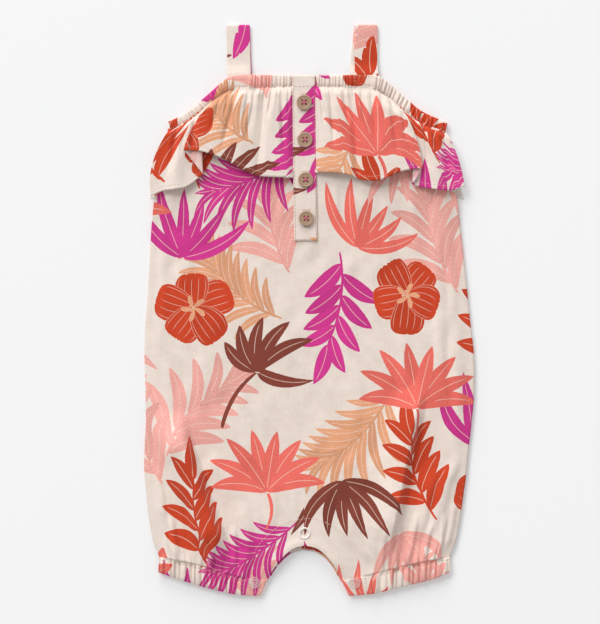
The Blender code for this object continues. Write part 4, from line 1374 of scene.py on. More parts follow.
@dataclass
class Body:
    """Front and back panels, and the facing of the back's crotch edge."""

    columns: int = 108
    rows: int = 200
    wall: float = 0.6
    back_columns: int = 56
    back_rows: int = 150
    gathers: Gathers = ((2.0, 10.0, 0.9, 0.7), (4.2, 26.0, 0.55, 2.2))
    plain_inseam: float = 15.0
    tuck: float = 0.9
    tuck_height: float = 1.4
    unevenness: float = 0.9
    stitch_lift: float = 0.14
    lip: float = 2.8
    lip_width: float = 11.0
    lip_foot: float = -212.0
    hem_round: float = 0.25
    gather_share: float = 0.22
    gather_reach: float = 26.0
    facing_width: float = 10.4
    facing_wall: float = 0.7
    facing_lift: float = 0.9
    facing_fabric: tuple[float, float] = (60.0, 210.0)

    def cuff_pleats(self, half: Half, across: Array, x: Array, y: Array) -> Array:
        """Height of the gathers that the cuff sends up into the leg.

        Args:
            half: The half of the garment.
            across: Share of the way from the side seam to the middle.
            x: Plan positions, in millimetres.
            y: Plan positions, in millimetres.

        Returns:
            Heights, in millimetres.
        """
        low = half.point(across, np.zeros_like(across))
        phase = half.cuff.read("seam_x", low[..., 0], np.cumsum(half.cuff["gathers"]))
        far = np.hypot(x - low[..., 0], y - low[..., 1])
        inseam = np.abs(low[..., 0] - half.crotch["x"][-1])
        edge = np.minimum(side_distance(x, y), crotch_distance(x, y))
        total = pleats(self.gathers, phase, far, spread=0.38, power=1.7)
        return total * ease((inseam - self.plain_inseam) / 5.0) * ease(edge / CURL_WIDTH)

    def creased(self, x: Array, y: Array) -> Array:
        """Height of the front with its fine creases and its unevenness.

        Args:
            x: Plan positions, in millimetres.
            y: Plan positions, in millimetres.

        Returns:
            Heights, in millimetres.
        """
        rim = np.minimum(side_distance(x, y), crotch_distance(x, y))
        soft = drift(x / 13.0 + 0.8 * drift(y / 34.0, 2.0), 0.6) * drift(y / 27.0 + x / 60.0, 1.7)
        fine = crease_relief(FRONT_CREASES, x, y) * ease(rim / CURL_WIDTH)
        return front_top(x, y) + fine + self.unevenness * soft * ease(rim / (2.0 * CURL_WIDTH))

    def outer(self, half: Half, across: Array, up: Array) -> Array:
        """Points of the front's outer side, in millimetres.

        Args:
            half: Half of the panel.
            across: Shares of the way from the side seam to the middle.
            up: Shares of the way from the cuff to the neck.

        Returns:
            The points.
        """
        x, y = np.moveaxis(half.point(across, up), -1, 0)
        z = self.creased(x, y) + self.cuff_pleats(half, across, x, y)
        hem = crotch_distance(x, y)
        lip = (1.0 - np.clip(hem / self.lip_width, 0.0, 1.0)) ** 2
        z += self.lip * lip * ease((y - self.lip_foot) / 16.0) - self.hem_round * bell(hem / 1.2)
        seam_y = half.cuff.read("seam_x", x, half.cuff["seam_y"])
        sunk = ease((self.tuck - (y - seam_y)) / (2.0 * self.tuck))
        level = half.cuff["floor"][0] + self.tuck_height
        return np.stack([x, y, z + (np.minimum(level, z) - z) * sunk], -1)

    def back_outer(self, half: Half, across: Array, up: Array) -> Array:
        """Points of the back's outer side, which lies down."""
        x, y = np.moveaxis(half.point(across, up, BACK_CROTCH_DROP), -1, 0)
        return np.stack([x, y, back_under(x, y)], -1)

    def crotch_stitches(self) -> Array:
        """Points of the curved row of stitches above the crotch and down both inseams."""
        x, y = CROTCH_STITCHES.spot(CROTCH_STITCHES.places(160)).T
        return np.stack([x, y, self.creased(x, y) + self.stitch_lift], -1)

    def flat(self, half: Half, points: Array, middle: int) -> Array:
        """Places of a half's points on the flat cloth.

        Args:
            half: Half of the panel.
            points: Its points.
            middle: Their column on the middle line, which the cloth is measured from.

        Returns:
            The places.
        """
        run = lengths(points, 1)
        u = points[:, [middle], 0] + run - run[:, [middle]]
        leg = 0.5 * (half.cuff["seam_x"][0] + half.cuff["seam_x"][-1])
        above = points[..., 1] - float(np.mean(half.cuff["seam_y"]))
        gather = 1.0 + self.gather_share * bell(above / self.gather_reach)
        return np.stack([leg + (u - leg) * gather, points[..., 1]], -1)

    def patches(self, surface: Callable[[Half, Array, Array], Array], columns: int,
                rows: int) -> list[Patch]:
        """Left and right patch of a panel.

        Args:
            surface: What gives the points of a half.
            columns: Faces across each half.
            rows: Faces from the cuff to the neck.

        Returns:
            The patches.
        """
        up, across = np.meshgrid(
            np.linspace(0.0, 1.0, rows + 1) ** 1.25, np.linspace(0.0, 1.0, columns + 1),
            indexing="ij")
        left, right = surface(LEFT_HALF, across, up), surface(RIGHT_HALF, 1.0 - across, up)
        return [Patch(left, self.flat(LEFT_HALF, left, -1)),
                Patch(right, self.flat(RIGHT_HALF, right, 0))]

    def facing(self) -> Patch:
        """Grid of the facing strip along the back's crotch edge.

        Returns:
            The grid, with its place on the flat cloth.
        """
        line = CROTCH_LINE[4:-4] - np.array([0.0, BACK_CROTCH_DROP - 0.2])
        places = np.linspace(0.0, len(line) - 1.0, 97)
        spots = np.stack([through(line[:, axis], places) for axis in (0, 1)], -1)
        depth = np.linspace(0.0, self.facing_width, 9)
        plan = spots + normals(spots) * depth[:, None, None]
        x, y = plan[..., 0], plan[..., 1]
        z = back_under(x, y) + BACK_WALL + GAP + self.facing_lift + 0.05 * np.sin(0.9 * x)
        return Patch(np.stack([x, y, z], -1), plan + np.array(self.facing_fabric))

    def make(self, room: Workroom) -> list[Place]:
        """Make the panels and the facing.

        Args:
            room: Where cloth is made.

        Returns:
            For the front and the back, the way its cuffs take its print.
        """
        front = self.patches(self.outer, self.columns, self.rows)
        room.make("front_body", "front_panel", "laid", front, self.wall, ["back_body"])
        back = self.patches(self.back_outer, self.back_columns, self.back_rows)
        room.make("back_body", "back_panel", "laid", back, self.wall, faces_down=True)
        room.make("crotch_facing", "snap_strip_back", "laid", [self.facing()], self.facing_wall,
                  ["back_body"])
        return [seam(front, 0), seam(back, 0)]


# ------------------------------------------------------------------ elastic bands


@dataclass
class Band:
    """Casing of cloth sewn round elastic and puckered by its gathers."""

    name: str
    node: str
    table: Table
    height: float
    pucker: float
    seed: float
    on_floor: bool = False
    pleats: float = 1.45
    sides: int = 28
    per_gather: int = 16
    wall: float = 0.4
    squareness: float = 0.7
    edge_reach: float = 0.95
    groove: float = 0.42
    groove_place: float = 0.14
    groove_width: float = 0.07
    tab: float = 0.0
    corner: float = 2.6
    least_parts: int = 16
    plain_reach: float = 0.12
    end_reach: float = 0.22
    end_height: float = 0.3
    stitch_lift: float = 0.1

    def stations(self) -> Array:
        """Row positions of its sections.

        Returns:
            The positions, such as 2.4.
        """
        found = [np.zeros(1)]
        for index, gathers in enumerate(self.table["gathers"][1:]):
            parts = max(int(gathers) * self.per_gather, self.least_parts)
            found.append(index + np.arange(1, parts + 1) / parts)
        return np.concatenate(found)

    def gathered(self, where: Array) -> Array:
        """1 where the band is puckered, and 0 where it lies plain.

        Args:
            where: Row positions.

        Returns:
            A share to each position.
        """
        ahead = np.clip(np.ceil(where).astype(int), 1, len(self.table) - 1)
        inside = where - np.floor(where)
        plain = 1.0 - ease(np.minimum(inside, 1.0 - inside) / self.plain_reach)
        return np.where(self.table["gathers"][ahead] == 0, plain, 1.0)

    def outer(self, where: Array, turn: Array) -> Array:
        """Points of its outer side, in millimetres.

        Args:
            where: Row positions.
            turn: Angles round its section, 0 at its free edge and a quarter turn on top.

        Returns:
            The points.
        """
        table, last = self.table, len(self.table) - 1.0
        seam_spot, edge = table.spot(where, "seam_"), table.spot(where, "edge_")
        phase = np.interp(where, np.arange(len(table)), np.cumsum(table["gathers"]))
        gathered = self.gathered(where)
        top = gathered * crest(phase * self.pleats, self.seed)
        out, rise = (squared(wave(turn), self.squareness) for wave in (np.cos, np.sin))
        upper = np.maximum(rise, 0.0)
        reach = np.where(out < 0.0, out, out * (self.edge_reach + (1.0 - self.edge_reach) * top))
        reach = 0.5 * (1.0 + reach)
        close = dome(np.minimum(where, last - where) / self.end_reach)
        close = self.end_height + (1.0 - self.end_height) * close
        z = (self.height - self.pucker) * 0.5 * (1.0 + rise * close)
        z += self.pucker * top * upper * close
        if not self.on_floor:
            sewn = gathered if self.tab else 1.0
            z += table.at("floor", where) - self.groove * sewn * upper * bell(
                (reach - self.groove_place) / self.groove_width)
        if self.tab:
            z += self.tab * (1.0 - gathered) * (1.0 - reach) * upper
            inward = np.linalg.norm(table.spot(np.array(last), "seam_") - seam_spot, axis=-1)
            deep = np.linalg.norm(edge - seam_spot, axis=-1)
            reach = reach - (1.0 - dome(inward / self.corner)) * np.maximum(
                reach - 1.0 + self.corner / deep, 0.0)
        spot = seam_spot + (edge - seam_spot) * reach[..., None]
        return np.concatenate([spot, z[..., None]], -1)

    def patch(self, along: Place) -> Patch:
        """Grid round the band.

        Args:
            along: Place on the flat cloth of a point of the seam, from the seam's X.

        Returns:
            The grid, with the flat cloth running on from the panel or ruffle at its seam.
        """
        start = 0.5 * math.pi if self.on_floor else -0.5 * math.pi
        turns = start + np.linspace(0.0, 2.0 * math.pi, self.sides + 1)
        grid, turn = np.meshgrid(self.stations(), turns, indexing="ij")
        flat = along(self.table.at("seam_x", grid))
        edge_y = self.table.at("edge_y", grid) - self.table.at("seam_y", grid)
        flat[..., 1] += edge_y * 0.5 * (1.0 + np.cos(turn))
        points = self.outer(grid, turn)
        first, last = self.table.rows[0], self.table.rows[-1]
        edge_below, runs_left = first[1] < first[3], last[2] < first[2]
        return Patch(points[::-1], flat[::-1]) if edge_below != runs_left else Patch(points, flat)

    def line(self, where: Array, reach: Array) -> Array:
        """Points on its top side, from row positions and shares of the way to its edge."""
        turn = np.arccos(squared(2.0 * reach - 1.0, 1.0 / self.squareness))
        return self.outer(where, turn) + (0.0, 0.0, self.stitch_lift)

    def seam_line(self) -> Array:
        """Points along the groove of its seam.

        Returns:
            The points.
        """
        where = self.stations()
        if self.tab:
            where = where[self.gathered(where) > 0.5]
        return self.line(where, np.full_like(where, self.groove_place))

    def box(self, first: float, last: float, low: float, high: float) -> list[Array]:
        """Four sides of a stitched box on its plain part.

        Args:
            first: Row position of its one end.
            last: Row position of its other.
            low: Share of the way from the seam to the edge, at its lower side.
            high: The same at its upper side.

        Returns:
            The points of each side.
        """
        where, reach = np.linspace(first, last, 24), np.linspace(low, high, 12)
        return [self.line(where, np.full_like(where, level)) for level in (low, high)] + [
            self.line(np.full_like(reach, end), reach) for end in (first, last)]

    def make(self, room: Workroom, along: Place, rests_on: Sequence[str] = ()) -> None:
        """Make the band."""
        room.make(self.name, self.node, "gathered", [self.patch(along)], self.wall, rests_on,
                  long_first=True)


def back_neck() -> Table:
    """Rows of the back casing, from the left underarm to the right one.

    Returns:
        The table.
    """
    left, right = NECK_LEFT.rows[::-1].copy(), NECK_RIGHT.rows.copy()
    left[:, 4] = 0.0, *left[:-1, 4]
    right[0, 4] = 6.0
    return Table(BAND_COLUMNS, *left, *right)


# ------------------------------------------------------------------ ruffles


@dataclass
class Ruffle:
    """Gathered ruffle of the front, which hangs from a casing and folds over itself."""

    name: str
    node: str
    table: Table
    casing: Band
    fabric: tuple[float, float]
    per_row: int = 12
    depth_rows: int = 48
    wall: float = 0.5
    clearance: float = 0.6
    rise: float = 0.24
    billow: float = 2.8
    gathers: Gathers = ((2.3, 9.0, 1.0, 0.0), (1.8, 21.0, 0.52, 1.1))
    side_inset: float = 3.0
    tuck: float = 0.9
    tuck_height: float = 1.25
    hem_width: float = 3.6
    hem_wall: float = 0.3
    turned: float = 6.6
    turned_lift: float = 0.35
    plain_place: tuple[float, float] = (-7.0, -62.0)
    stitch_lift: float = 0.12

    def outer(self, along: Array, down: Array) -> Array:
        """Points of its outer side, in millimetres.

        Args:
            along: Row positions of its table, from the placket to the underarm.
            down: Share of the way from the casing to the hem.

        Returns:
            The points.
        """
        table, casing = self.table, self.casing.table
        top, hem = table.spot(along, "top_"), table.spot(along, "hem_")
        x, y = np.moveaxis(top + (hem - top) * down[..., None], -1, 0)
        x = x + table.at("bow", along) * 4.0 * down * (1.0 - down)
        inside = np.clip(
            x, LEFT_HALF.side_x(y) + self.side_inset, RIGHT_HALF.side_x(y) - self.side_inset)
        whole = np.linalg.norm(hem - top, axis=-1)
        depth = down * whole
        z = front_top(inside, y) + self.clearance + self.wall
        z += np.maximum(table.at("lift", along), 0.0) * ease(down / self.rise)
        phase = casing.read("seam_x", table.at("top_x", along), np.cumsum(casing["gathers"]))
        z += ease(along / 0.5) * pleats(
            self.gathers, phase, np.maximum(depth, 0.0), spread=0.35, power=1.6,
            seed=self.casing.seed)
        valley = crease_relief(RUFFLE_VALLEYS, x, y, True, Profile.GATHER, Profile.GATHER)
        z += self.billow * (1.0 - valley) * ease(depth / 5.0) * ease(along / 0.6)
        z += self.hem_wall * ease((self.hem_width - whole + depth) / 0.8)
        sunk = ease((self.tuck - depth) / (2.0 * self.tuck))
        level = casing.read("seam_x", x, casing["floor"]) + self.tuck_height
        return np.stack([x, y, z + (np.minimum(level, z) - z) * sunk], -1)

    def patch(self) -> Patch:
        """Grid of the ruffle with its place on the flat cloth.

        Returns:
            The grid, with its place on the flat cloth.
        """
        along = self.table.places((len(self.table) - 1) * self.per_row + 1)
        if self.table["top_x"][-1] < self.table["top_x"][0]:
            along = along[::-1]
        down = np.append(np.linspace(1.0, 0.0, self.depth_rows + 1), (-0.011, -0.022))
        return hanging(self.outer(*np.meshgrid(along, down)), self.fabric)

    def hem_line(self) -> Array:
        """Points of the stitching along its hem.

        Returns:
            The points.
        """
        along = np.linspace(0.4, len(self.table) - 1.02, 400)
        whole = self.table.spot(along, "hem_") - self.table.spot(along, "top_")
        inset = self.hem_width / np.linalg.norm(whole, axis=-1)
        return self.outer(along, 1.0 - inset) + (0.0, 0.0, self.stitch_lift)

    def turned_corner(self) -> Patch:
        """Corner of the hem beside the placket, turned up so that its reverse shows.

        Returns:
            The grid, with its place on the flat cloth.
        """
        a, b = np.meshgrid(np.linspace(0.0, 1.0, 9), np.linspace(0.0, 1.0, 9))
        hem_x, table = self.table["hem_x"], self.table
        along = 0.06 + a * (1.0 - b) * self.turned / abs(hem_x[1] - hem_x[0])
        down = 1.006 - b * self.turned / (table["top_y"][0] - table["hem_y"][0])
        points = self.outer(along, down)
        points[..., 2] += self.turned_lift + 0.25 * a * (1.0 - b)
        flat = points[..., :2] - points[0, 0, :2] + np.array(self.plain_place)
        if hem_x[-1] < hem_x[0]:
            return Patch(points, flat)
        return Patch(points[:, ::-1], flat[:, ::-1])

    def make(self, room: Workroom) -> Place:
        """Make the ruffle and return the way its casing takes its print.

        Args:
            room: The workroom that sews it.

        Returns:
            Function that gives the flat places of points of its seam, from their X.
        """
        patch = self.patch()
        room.make(self.name, self.node, "gathered", [patch, self.turned_corner()], self.wall,
                  ["front_body"])
        return seam([patch], -1)


@dataclass
class BackRuffle:
    """Ruffle of the back, pressed flat under the back panel."""

    per_row: int = 14
    rows: int = 50
    wall: float = 0.6
    fullness: float = 1.3
    fabric: tuple[float, float] = (40.0, 90.0)

    def make(self, room: Workroom) -> Place:
        """Make the ruffle and return the way the back casing takes its print.

        Args:
            room: The workroom that sews it.

        Returns:
            Function that gives the flat places of points of its seam, from their X.
        """
        along = RUFFLE_BACK.places((len(RUFFLE_BACK) - 1) * self.per_row + 1)
        where, down = np.meshgrid(along, np.linspace(1.0, 0.0, self.rows + 1))
        top, hem = RUFFLE_BACK.spot(where, "top_"), RUFFLE_BACK.spot(where, "hem_")
        plan = top + (hem - top) * down[..., None]
        points = np.concatenate([plan, np.zeros(plan.shape[:-1] + (1,))], -1)
        patch = hanging(points, self.fabric, self.fullness)
        room.make("back_ruffle", "ruffle_back", "gathered", [patch], self.wall, faces_down=True)
        return seam([patch], -1)


# ------------------------------------------------------------------ straps and placket


@dataclass
class Strap:
    """Flat tube of cloth, folded over at the shoulder."""

    name: str
    foot_x: float
    fold_x: float
    back_shift: float
    fabric: tuple[float, float]
    width: float = 18.4
    thickness: float = 1.2
    wall: float = 0.35
    sides: int = 24
    path: Table = Table(
        "y z back",
        (177.5, 3.45, 1), (185.5, 3.4, 1), (190, 2.1, 1), (196, 0.62, 0.9), (210, 0.62, 0.5),
        (223.5, 0.62, 0), (224.4, 1.52, 0), (223.5, 2.42, 0), (210, 2.42, 0), (196, 2.5, 0),
        (190, 3.9, 0), (185.5, 5.15, 0), (177.5, 5.15, 0))

    def patch(self) -> Patch:
        """Grid round the tube, from its back end over the shoulder to its front end.

        Returns:
            The grid, with its place on the flat cloth.
        """
        fine, half_t = self.path.places(121), 0.5 * self.thickness
        y, z = self.path.at("y", fine), np.maximum(self.path.at("z", fine), half_t)
        line = np.stack([y, z], -1)
        share = (y - y[0]) / (self.path["y"].max() - y[0])
        middle = self.foot_x + (self.fold_x - self.foot_x) * share
        middle = middle + self.back_shift * self.path.at("back", fine)
        turn = np.linspace(-0.5 * math.pi, 1.5 * math.pi, self.sides + 1)
        side = squared(np.cos(turn), 0.35) * 0.5 * self.width
        out = squared(np.sin(turn), 0.8) * half_t
        spot = line[:, None] - normals(line)[:, None] * out[:, None]
        points = np.concatenate([(middle[:, None] - side)[..., None], spot], -1)
        u = self.fabric[0] + lengths(points, 1)
        v = self.fabric[1] - lengths(line, 0)[:, None] + 0.0 * u
        return Patch(points[::-1], np.stack([u, v], -1)[::-1])

    def make(self, room: Workroom) -> None:
        """Make the strap."""
        room.make(f"shoulder_{self.name}", self.name, "folded", [self.patch()], self.wall)


def placket_top(y: Array) -> Array:
    """Height of the placket's outer side at its middle line, in millimetres."""
    x = PLACKET.read("y", y, 0.5 * (PLACKET["left"] + PLACKET["right"]))
    return front_top(x, np.minimum(y, PLACKET_LEVEL_Y)) + GAP + PLACKET_RISE


@dataclass
class Placket:
    """Folded strip down the front, stitched along both edges."""

    name: str = "placket_strip"
    wall: float = 1.5
    columns: int = 24
    rows: int = 130
    groove: float = 0.16
    groove_inset: float = 2.0
    groove_width: float = 0.45
    side_drop: float = 0.7
    side_round: float = 1.1
    end_drop: float = 0.5
    end_round: float = 1.0
    waviness: float = 0.12
    width: float = 18.4
    stitch_lift: float = 0.08
    inset: float = 1.0
    top_row: float = 176.2
    fabric: tuple[float, float] = (5.0, -150.0)

    def outer(self, across: Array, y: Array) -> Array:
        """Points of its outer side.

        Args:
            across: Shares of the way from its left edge to its right one.
            y: Plan positions.

        Returns:
            The points, in millimetres.
        """
        left, right = (PLACKET.read("y", y, PLACKET[side]) for side in ("left", "right"))
        inside = np.minimum(across, 1.0 - across) * (right - left)
        ends = np.minimum(y - PLACKET["y"][-1], PLACKET["y"][0] - y)
        z = placket_top(y) - self.side_drop * (1.0 - dome(inside / self.side_round))
        z = z - self.end_drop * (1.0 - dome(ends / self.end_round))
        z = z - self.groove * bell((inside - self.groove_inset) / self.groove_width)
        z = z + self.waviness * np.sin(0.31 * y + 3.0 * across) * np.sin(0.11 * y + 1.0)
        return np.stack([left + across * (right - left), y, z], -1)

    def lines(self) -> list[Array]:
        """Rows of stitches along its edges, its end and its top.

        Returns:
            The points of each row.
        """
        low, high = PLACKET["y"][-1] + self.inset, PLACKET["y"][0] - self.inset
        share = self.inset / self.width
        y, across = np.linspace(low, high, 200), np.linspace(share, 1.0 - share, 30)
        found = [self.outer(np.full_like(y, edge), y) for edge in (share, 1.0 - share)]
        found += [self.outer(across, np.full_like(across, end)) for end in (low, self.top_row)]
        return [line + (0.0, 0.0, self.stitch_lift) for line in found]

    def make(self, room: Workroom) -> None:
        """Make the strip.

        Args:
            room: The workroom that sews it.
        """
        share = 0.5 - 0.5 * np.cos(np.linspace(0.0, math.pi, self.columns + 1))
        y = np.linspace(PLACKET["y"][-1], PLACKET["y"][0], self.rows + 1)
        ys, across = np.meshgrid(y, share, indexing="ij")
        points = self.outer(across, ys)
        patch = Patch(points, points[..., :2] + np.array(self.fabric))
        room.make(self.name, "placket", "laid", [patch], self.wall, ["front_body"])


# ------------------------------------------------------------------ buttons and snaps


def shaped(piece: bpy.types.Object, name: str, material: bpy.types.Material,
           smooth: float) -> bpy.types.Object:
    """Name a modelled piece, put its place in its mesh and give it its finish.

    Args:
        piece: The piece.
        name: Its name.
        material: Its finish.
        smooth: Angle up to which its edges are shaded smooth, in degrees.

    Returns:
        The piece.
    """
    piece.name = name
    piece.data.name = name
    piece.data.transform(piece.matrix_world)
    piece.matrix_world = Matrix.Identity(4)
    piece.data.materials.clear()
    piece.data.materials.append(material)
    only(piece)
    bpy.ops.object.shade_smooth_by_angle(angle=math.radians(smooth))
    return piece


def lathed(piece: bpy.types.Object, x: float, y: float) -> None:
    """Write each point's distance from an upright axis, in millimetres, on a turned piece.

    Args:
        piece: The piece.
        x: The axis's place, in millimetres.
        y: The axis's place, in millimetres.
    """
    co = np.array([vert.co for vert in piece.data.vertices])
    away = np.hypot(co[:, 0] / MM - x, co[:, 1] / MM - y)
    write(piece.data, "lathe", "POINT", np.stack([away] * 3, -1))


def cylinder(vertices: int, radius: float, depth: float, place: Sequence[float],
             turn: tuple[float, float, float] = (0.0, 0.0, 0.0)) -> bpy.types.Object:
    """Add a cylinder, with its sizes and its place in millimetres, and select it alone.

    Args:
        vertices: Number of its sides.
        radius: Its radius.
        depth: Its length.
        place: Its centre.
        turn: Its rotation, in radians.

    Returns:
        The cylinder.
    """
    only()
    bpy.ops.mesh.primitive_cylinder_add(
        vertices=vertices, radius=radius * MM, depth=depth * MM, rotation=turn,
        location=[value * MM for value in place])
    return bpy.context.object


@dataclass(frozen=True)
class ShellFinish:
    """Dull tan resin with a faint grain and a lighter rim, with painted shade in a ring where its
    dish falls in.
    """

    name: str = "button_resin"
    shade_ring_radius: float = 4.8

    def material(self) -> bpy.types.Material:
        """Build the material.

        Returns:
            The material.
        """
        shade = Shade(self.name, Roughness=0.42, Specular_IOR_Level=0.4)
        x, y, _ = shade.split(shade.place())
        radius = shade.split(shade.attribute("lathe"))[0]
        streak = shade.noise(shade.join(x * 900.0, y * 260.0), 1.0, 4.0)
        speck = shade.noise(shade.join(x * 2600.0, y * 2600.0), 1.0)
        colour = shade.mix(streak, paint(178, 146, 120), paint(164, 130, 104))
        # Painted shade: a darker ring over the dish's sloping wall, where shade falls.
        ring = (radius - self.shade_ring_radius).line(0.1, 0.4)
        colour = shade.mix(radius.rise(4.7, 5.2), colour, paint(184, 156, 131))
        colour = shade.mix(ring * 0.35, colour, paint(136, 106, 84))
        return shade.finish(shade.tone(colour, 1.0 + (speck - 0.5) * 0.12), streak, 0.00002)


@dataclass(frozen=True)
class PlasticFinish:
    """Smooth milky plastic, or nearly clear plastic with painted shade lines over its two raised
    rings.
    """

    name: str
    clear: bool = False
    rings: tuple[float, float] = (2.3, 4.3)

    def material(self) -> bpy.types.Material:
        """Build the material.

        Returns:
            The material.
        """
        shade = Shade(self.name, Roughness=0.28, Specular_IOR_Level=0.5, Coat_Weight=0.2)
        cloud = shade.noise(shade.place(), 400.0)
        colour = shade.mix(cloud, paint(252, 247, 243), paint(246, 239, 233))
        if self.clear:
            radius = shade.split(shade.attribute("lathe"))[0]
            # Painted shade: darker, less clear lines over the cap's two raised rings.
            inner, outer = ((radius - ring).line(0.12, 0.4) for ring in self.rings)
            line = inner.most(outer)
            colour = shade.mix(line, colour, paint(206, 192, 182))
            shade.feed(shade.inputs["Alpha"], line * 0.46 + 0.12)
        return shade.finish(colour)


@dataclass(frozen=True)
class ThreadFinish:
    """Twisted sewing thread."""

    name: str
    colour: Colour

    def material(self) -> bpy.types.Material:
        """Build the material.

        Returns:
            The material.
        """
        shade = Shade(self.name, Roughness=0.6, Specular_IOR_Level=0.3, Sheen_Weight=0.2)
        place = shade.place()
        x, y, z = shade.split(place)
        twist = ((x + y * 0.7 + z) * 9000.0).sine() * 0.5 + 0.5
        colour = shade.tone(self.colour[:3], 0.9 + shade.noise(place, 2500.0) * 0.2)
        return shade.finish(colour, twist, 0.00004)


@dataclass
class Button:
    """Four-hole button with its thread."""

    name: str
    x: float
    y: float
    seat: float
    radius: float = 5.9
    thickness: float = 1.7
    dish: tuple[tuple[float, float], ...] = ((0.45, 0.2), (0.5, 0.0), (0.3, -0.22), (0.5, -0.06))
    hole_radius: float = 0.8
    hole_reach: float = 2.00788
    drill_depth: float = 8.0
    edge: float = 0.28
    sides: int = 64
    thread_radius: float = 0.42
    thread_level: float = 1.45
    thread_step: float = 0.22
    thread_flat: float = 1.1
    thread_bend: float = 1.2

    def disc(self) -> bpy.types.Object:
        """Turn the dished disc and pierce it.

        Returns:
            The disc.
        """
        disc = cylinder(self.sides, self.radius, self.thickness,
                        (self.x, self.y, self.seat + 0.5 * self.thickness))
        bpy.ops.object.mode_set(mode="EDIT")
        bm = bmesh.from_edit_mesh(disc.data)
        for face in bm.faces:
            face.select_set(face.normal.z > 0.9)
        bmesh.update_edit_mesh(disc.data)
        for inset, drop in self.dish:
            bpy.ops.mesh.inset(thickness=inset * MM)
            bpy.ops.transform.translate(value=(0.0, 0.0, drop * MM))
        bpy.ops.object.mode_set(mode="OBJECT")
        applied(disc, "BEVEL", width=self.edge * MM, segments=3, limit_method="ANGLE",
                angle_limit=math.radians(38.0))
        for index in range(4):
            turn = math.pi * (0.25 + 0.5 * index)
            drill = cylinder(20, self.hole_radius, self.drill_depth, (
                self.x + self.hole_reach * math.cos(turn),
                self.y + self.hole_reach * math.sin(turn), self.seat))
            applied(disc, "BOOLEAN", operation="DIFFERENCE", object=drill)
            bpy.data.objects.remove(drill, do_unlink=True)
        return disc

    def make(self, finish: bpy.types.Material, thread: bpy.types.Material) -> None:
        """Make the button and the crossed stitches in its holes.

        Args:
            finish: Finish of the disc.
            thread: Finish of the thread.
        """
        disc = shaped(self.disc(), self.name, finish, 35.0)
        lathed(disc, self.x, self.y)
        stands_for(disc, self.name.replace("shell_", ""))
        strands = []
        for index, tilt in enumerate((45.0, 135.0)):
            strands.append(cylinder(
                10, self.thread_radius, 2.0 * self.hole_reach,
                (self.x, self.y, self.seat + self.thread_level + self.thread_step * index),
                (0.0, 0.5 * math.pi, math.radians(tilt))))
            bpy.ops.object.mode_set(mode="EDIT")
            bpy.ops.mesh.subdivide(number_cuts=3)
            bpy.ops.object.mode_set(mode="OBJECT")
        for strand in strands:
            strand.select_set(True)
        bpy.context.view_layer.objects.active = strands[0]
        bpy.ops.object.join()
        tie = shaped(bpy.context.object, self.name.replace("shell_", "thread_"), thread, 50.0)
        for vert in tie.data.vertices:
            away = math.hypot(vert.co.x / MM - self.x, vert.co.y / MM - self.y)
            vert.co.z -= self.thread_bend * MM * max(away - self.thread_flat, 0.0) ** 1.5
        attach(tie, "root")


@dataclass
class Snap:
    """Press stud: an open ring, or a cap with two raised rings."""

    name: str
    node: str
    x: float
    y: float
    ring: bool

    def profile(self) -> list[tuple[float, float]]:
        """Radius and height of its turned outline, from inside to outside.

        Returns:
            Pairs of both, in millimetres.
        """
        if self.ring:
            turn = np.linspace(-0.5 * math.pi, 1.5 * math.pi, 17)
            return [(3.95 + 0.62 * math.cos(a), 0.5 + 0.5 * math.sin(a)) for a in turn]
        return [
            (0.0, 0.4), (0.9, 0.4), (1.9, 0.42), (2.1, 0.66), (2.3, 0.72), (2.5, 0.64),
            (2.7, 0.42), (3.3, 0.42), (3.85, 0.42), (4.05, 0.64), (4.25, 0.7), (4.45, 0.6),
            (4.55, 0.3), (4.5, 0.0), (0.0, 0.0)]

    def make(self, finish: bpy.types.Material) -> None:
        """Turn the snap.

        Args:
            finish: Its finish.
        """
        bm = bmesh.new()
        verts = [bm.verts.new((radius * MM, 0.0, z * MM)) for radius, z in self.profile()]
        for pair in zip(verts, verts[1:]):
            bm.edges.new(pair)
        mesh = bpy.data.meshes.new(self.name)
        bm.to_mesh(mesh)
        bm.free()
        piece = only(linked(self.name, mesh))
        bpy.ops.object.mode_set(mode="EDIT")
        bpy.ops.mesh.select_all(action="SELECT")
        bpy.ops.mesh.spin(
            steps=64, angle=2.0 * math.pi, center=(0.0, 0.0, 0.0), axis=(0.0, 0.0, 1.0))
        bpy.ops.mesh.select_all(action="SELECT")
        bpy.ops.mesh.remove_doubles(threshold=0.00001)
        bpy.ops.mesh.normals_make_consistent(inside=False)
        bpy.ops.object.mode_set(mode="OBJECT")
        piece.location = (self.x * MM, self.y * MM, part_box(self.node)[0].z)
        bpy.context.view_layer.update()
        lathed(shaped(piece, self.name, finish, 50.0), self.x, self.y)
        stands_for(piece, self.node)


# ------------------------------------------------------------------ stitching


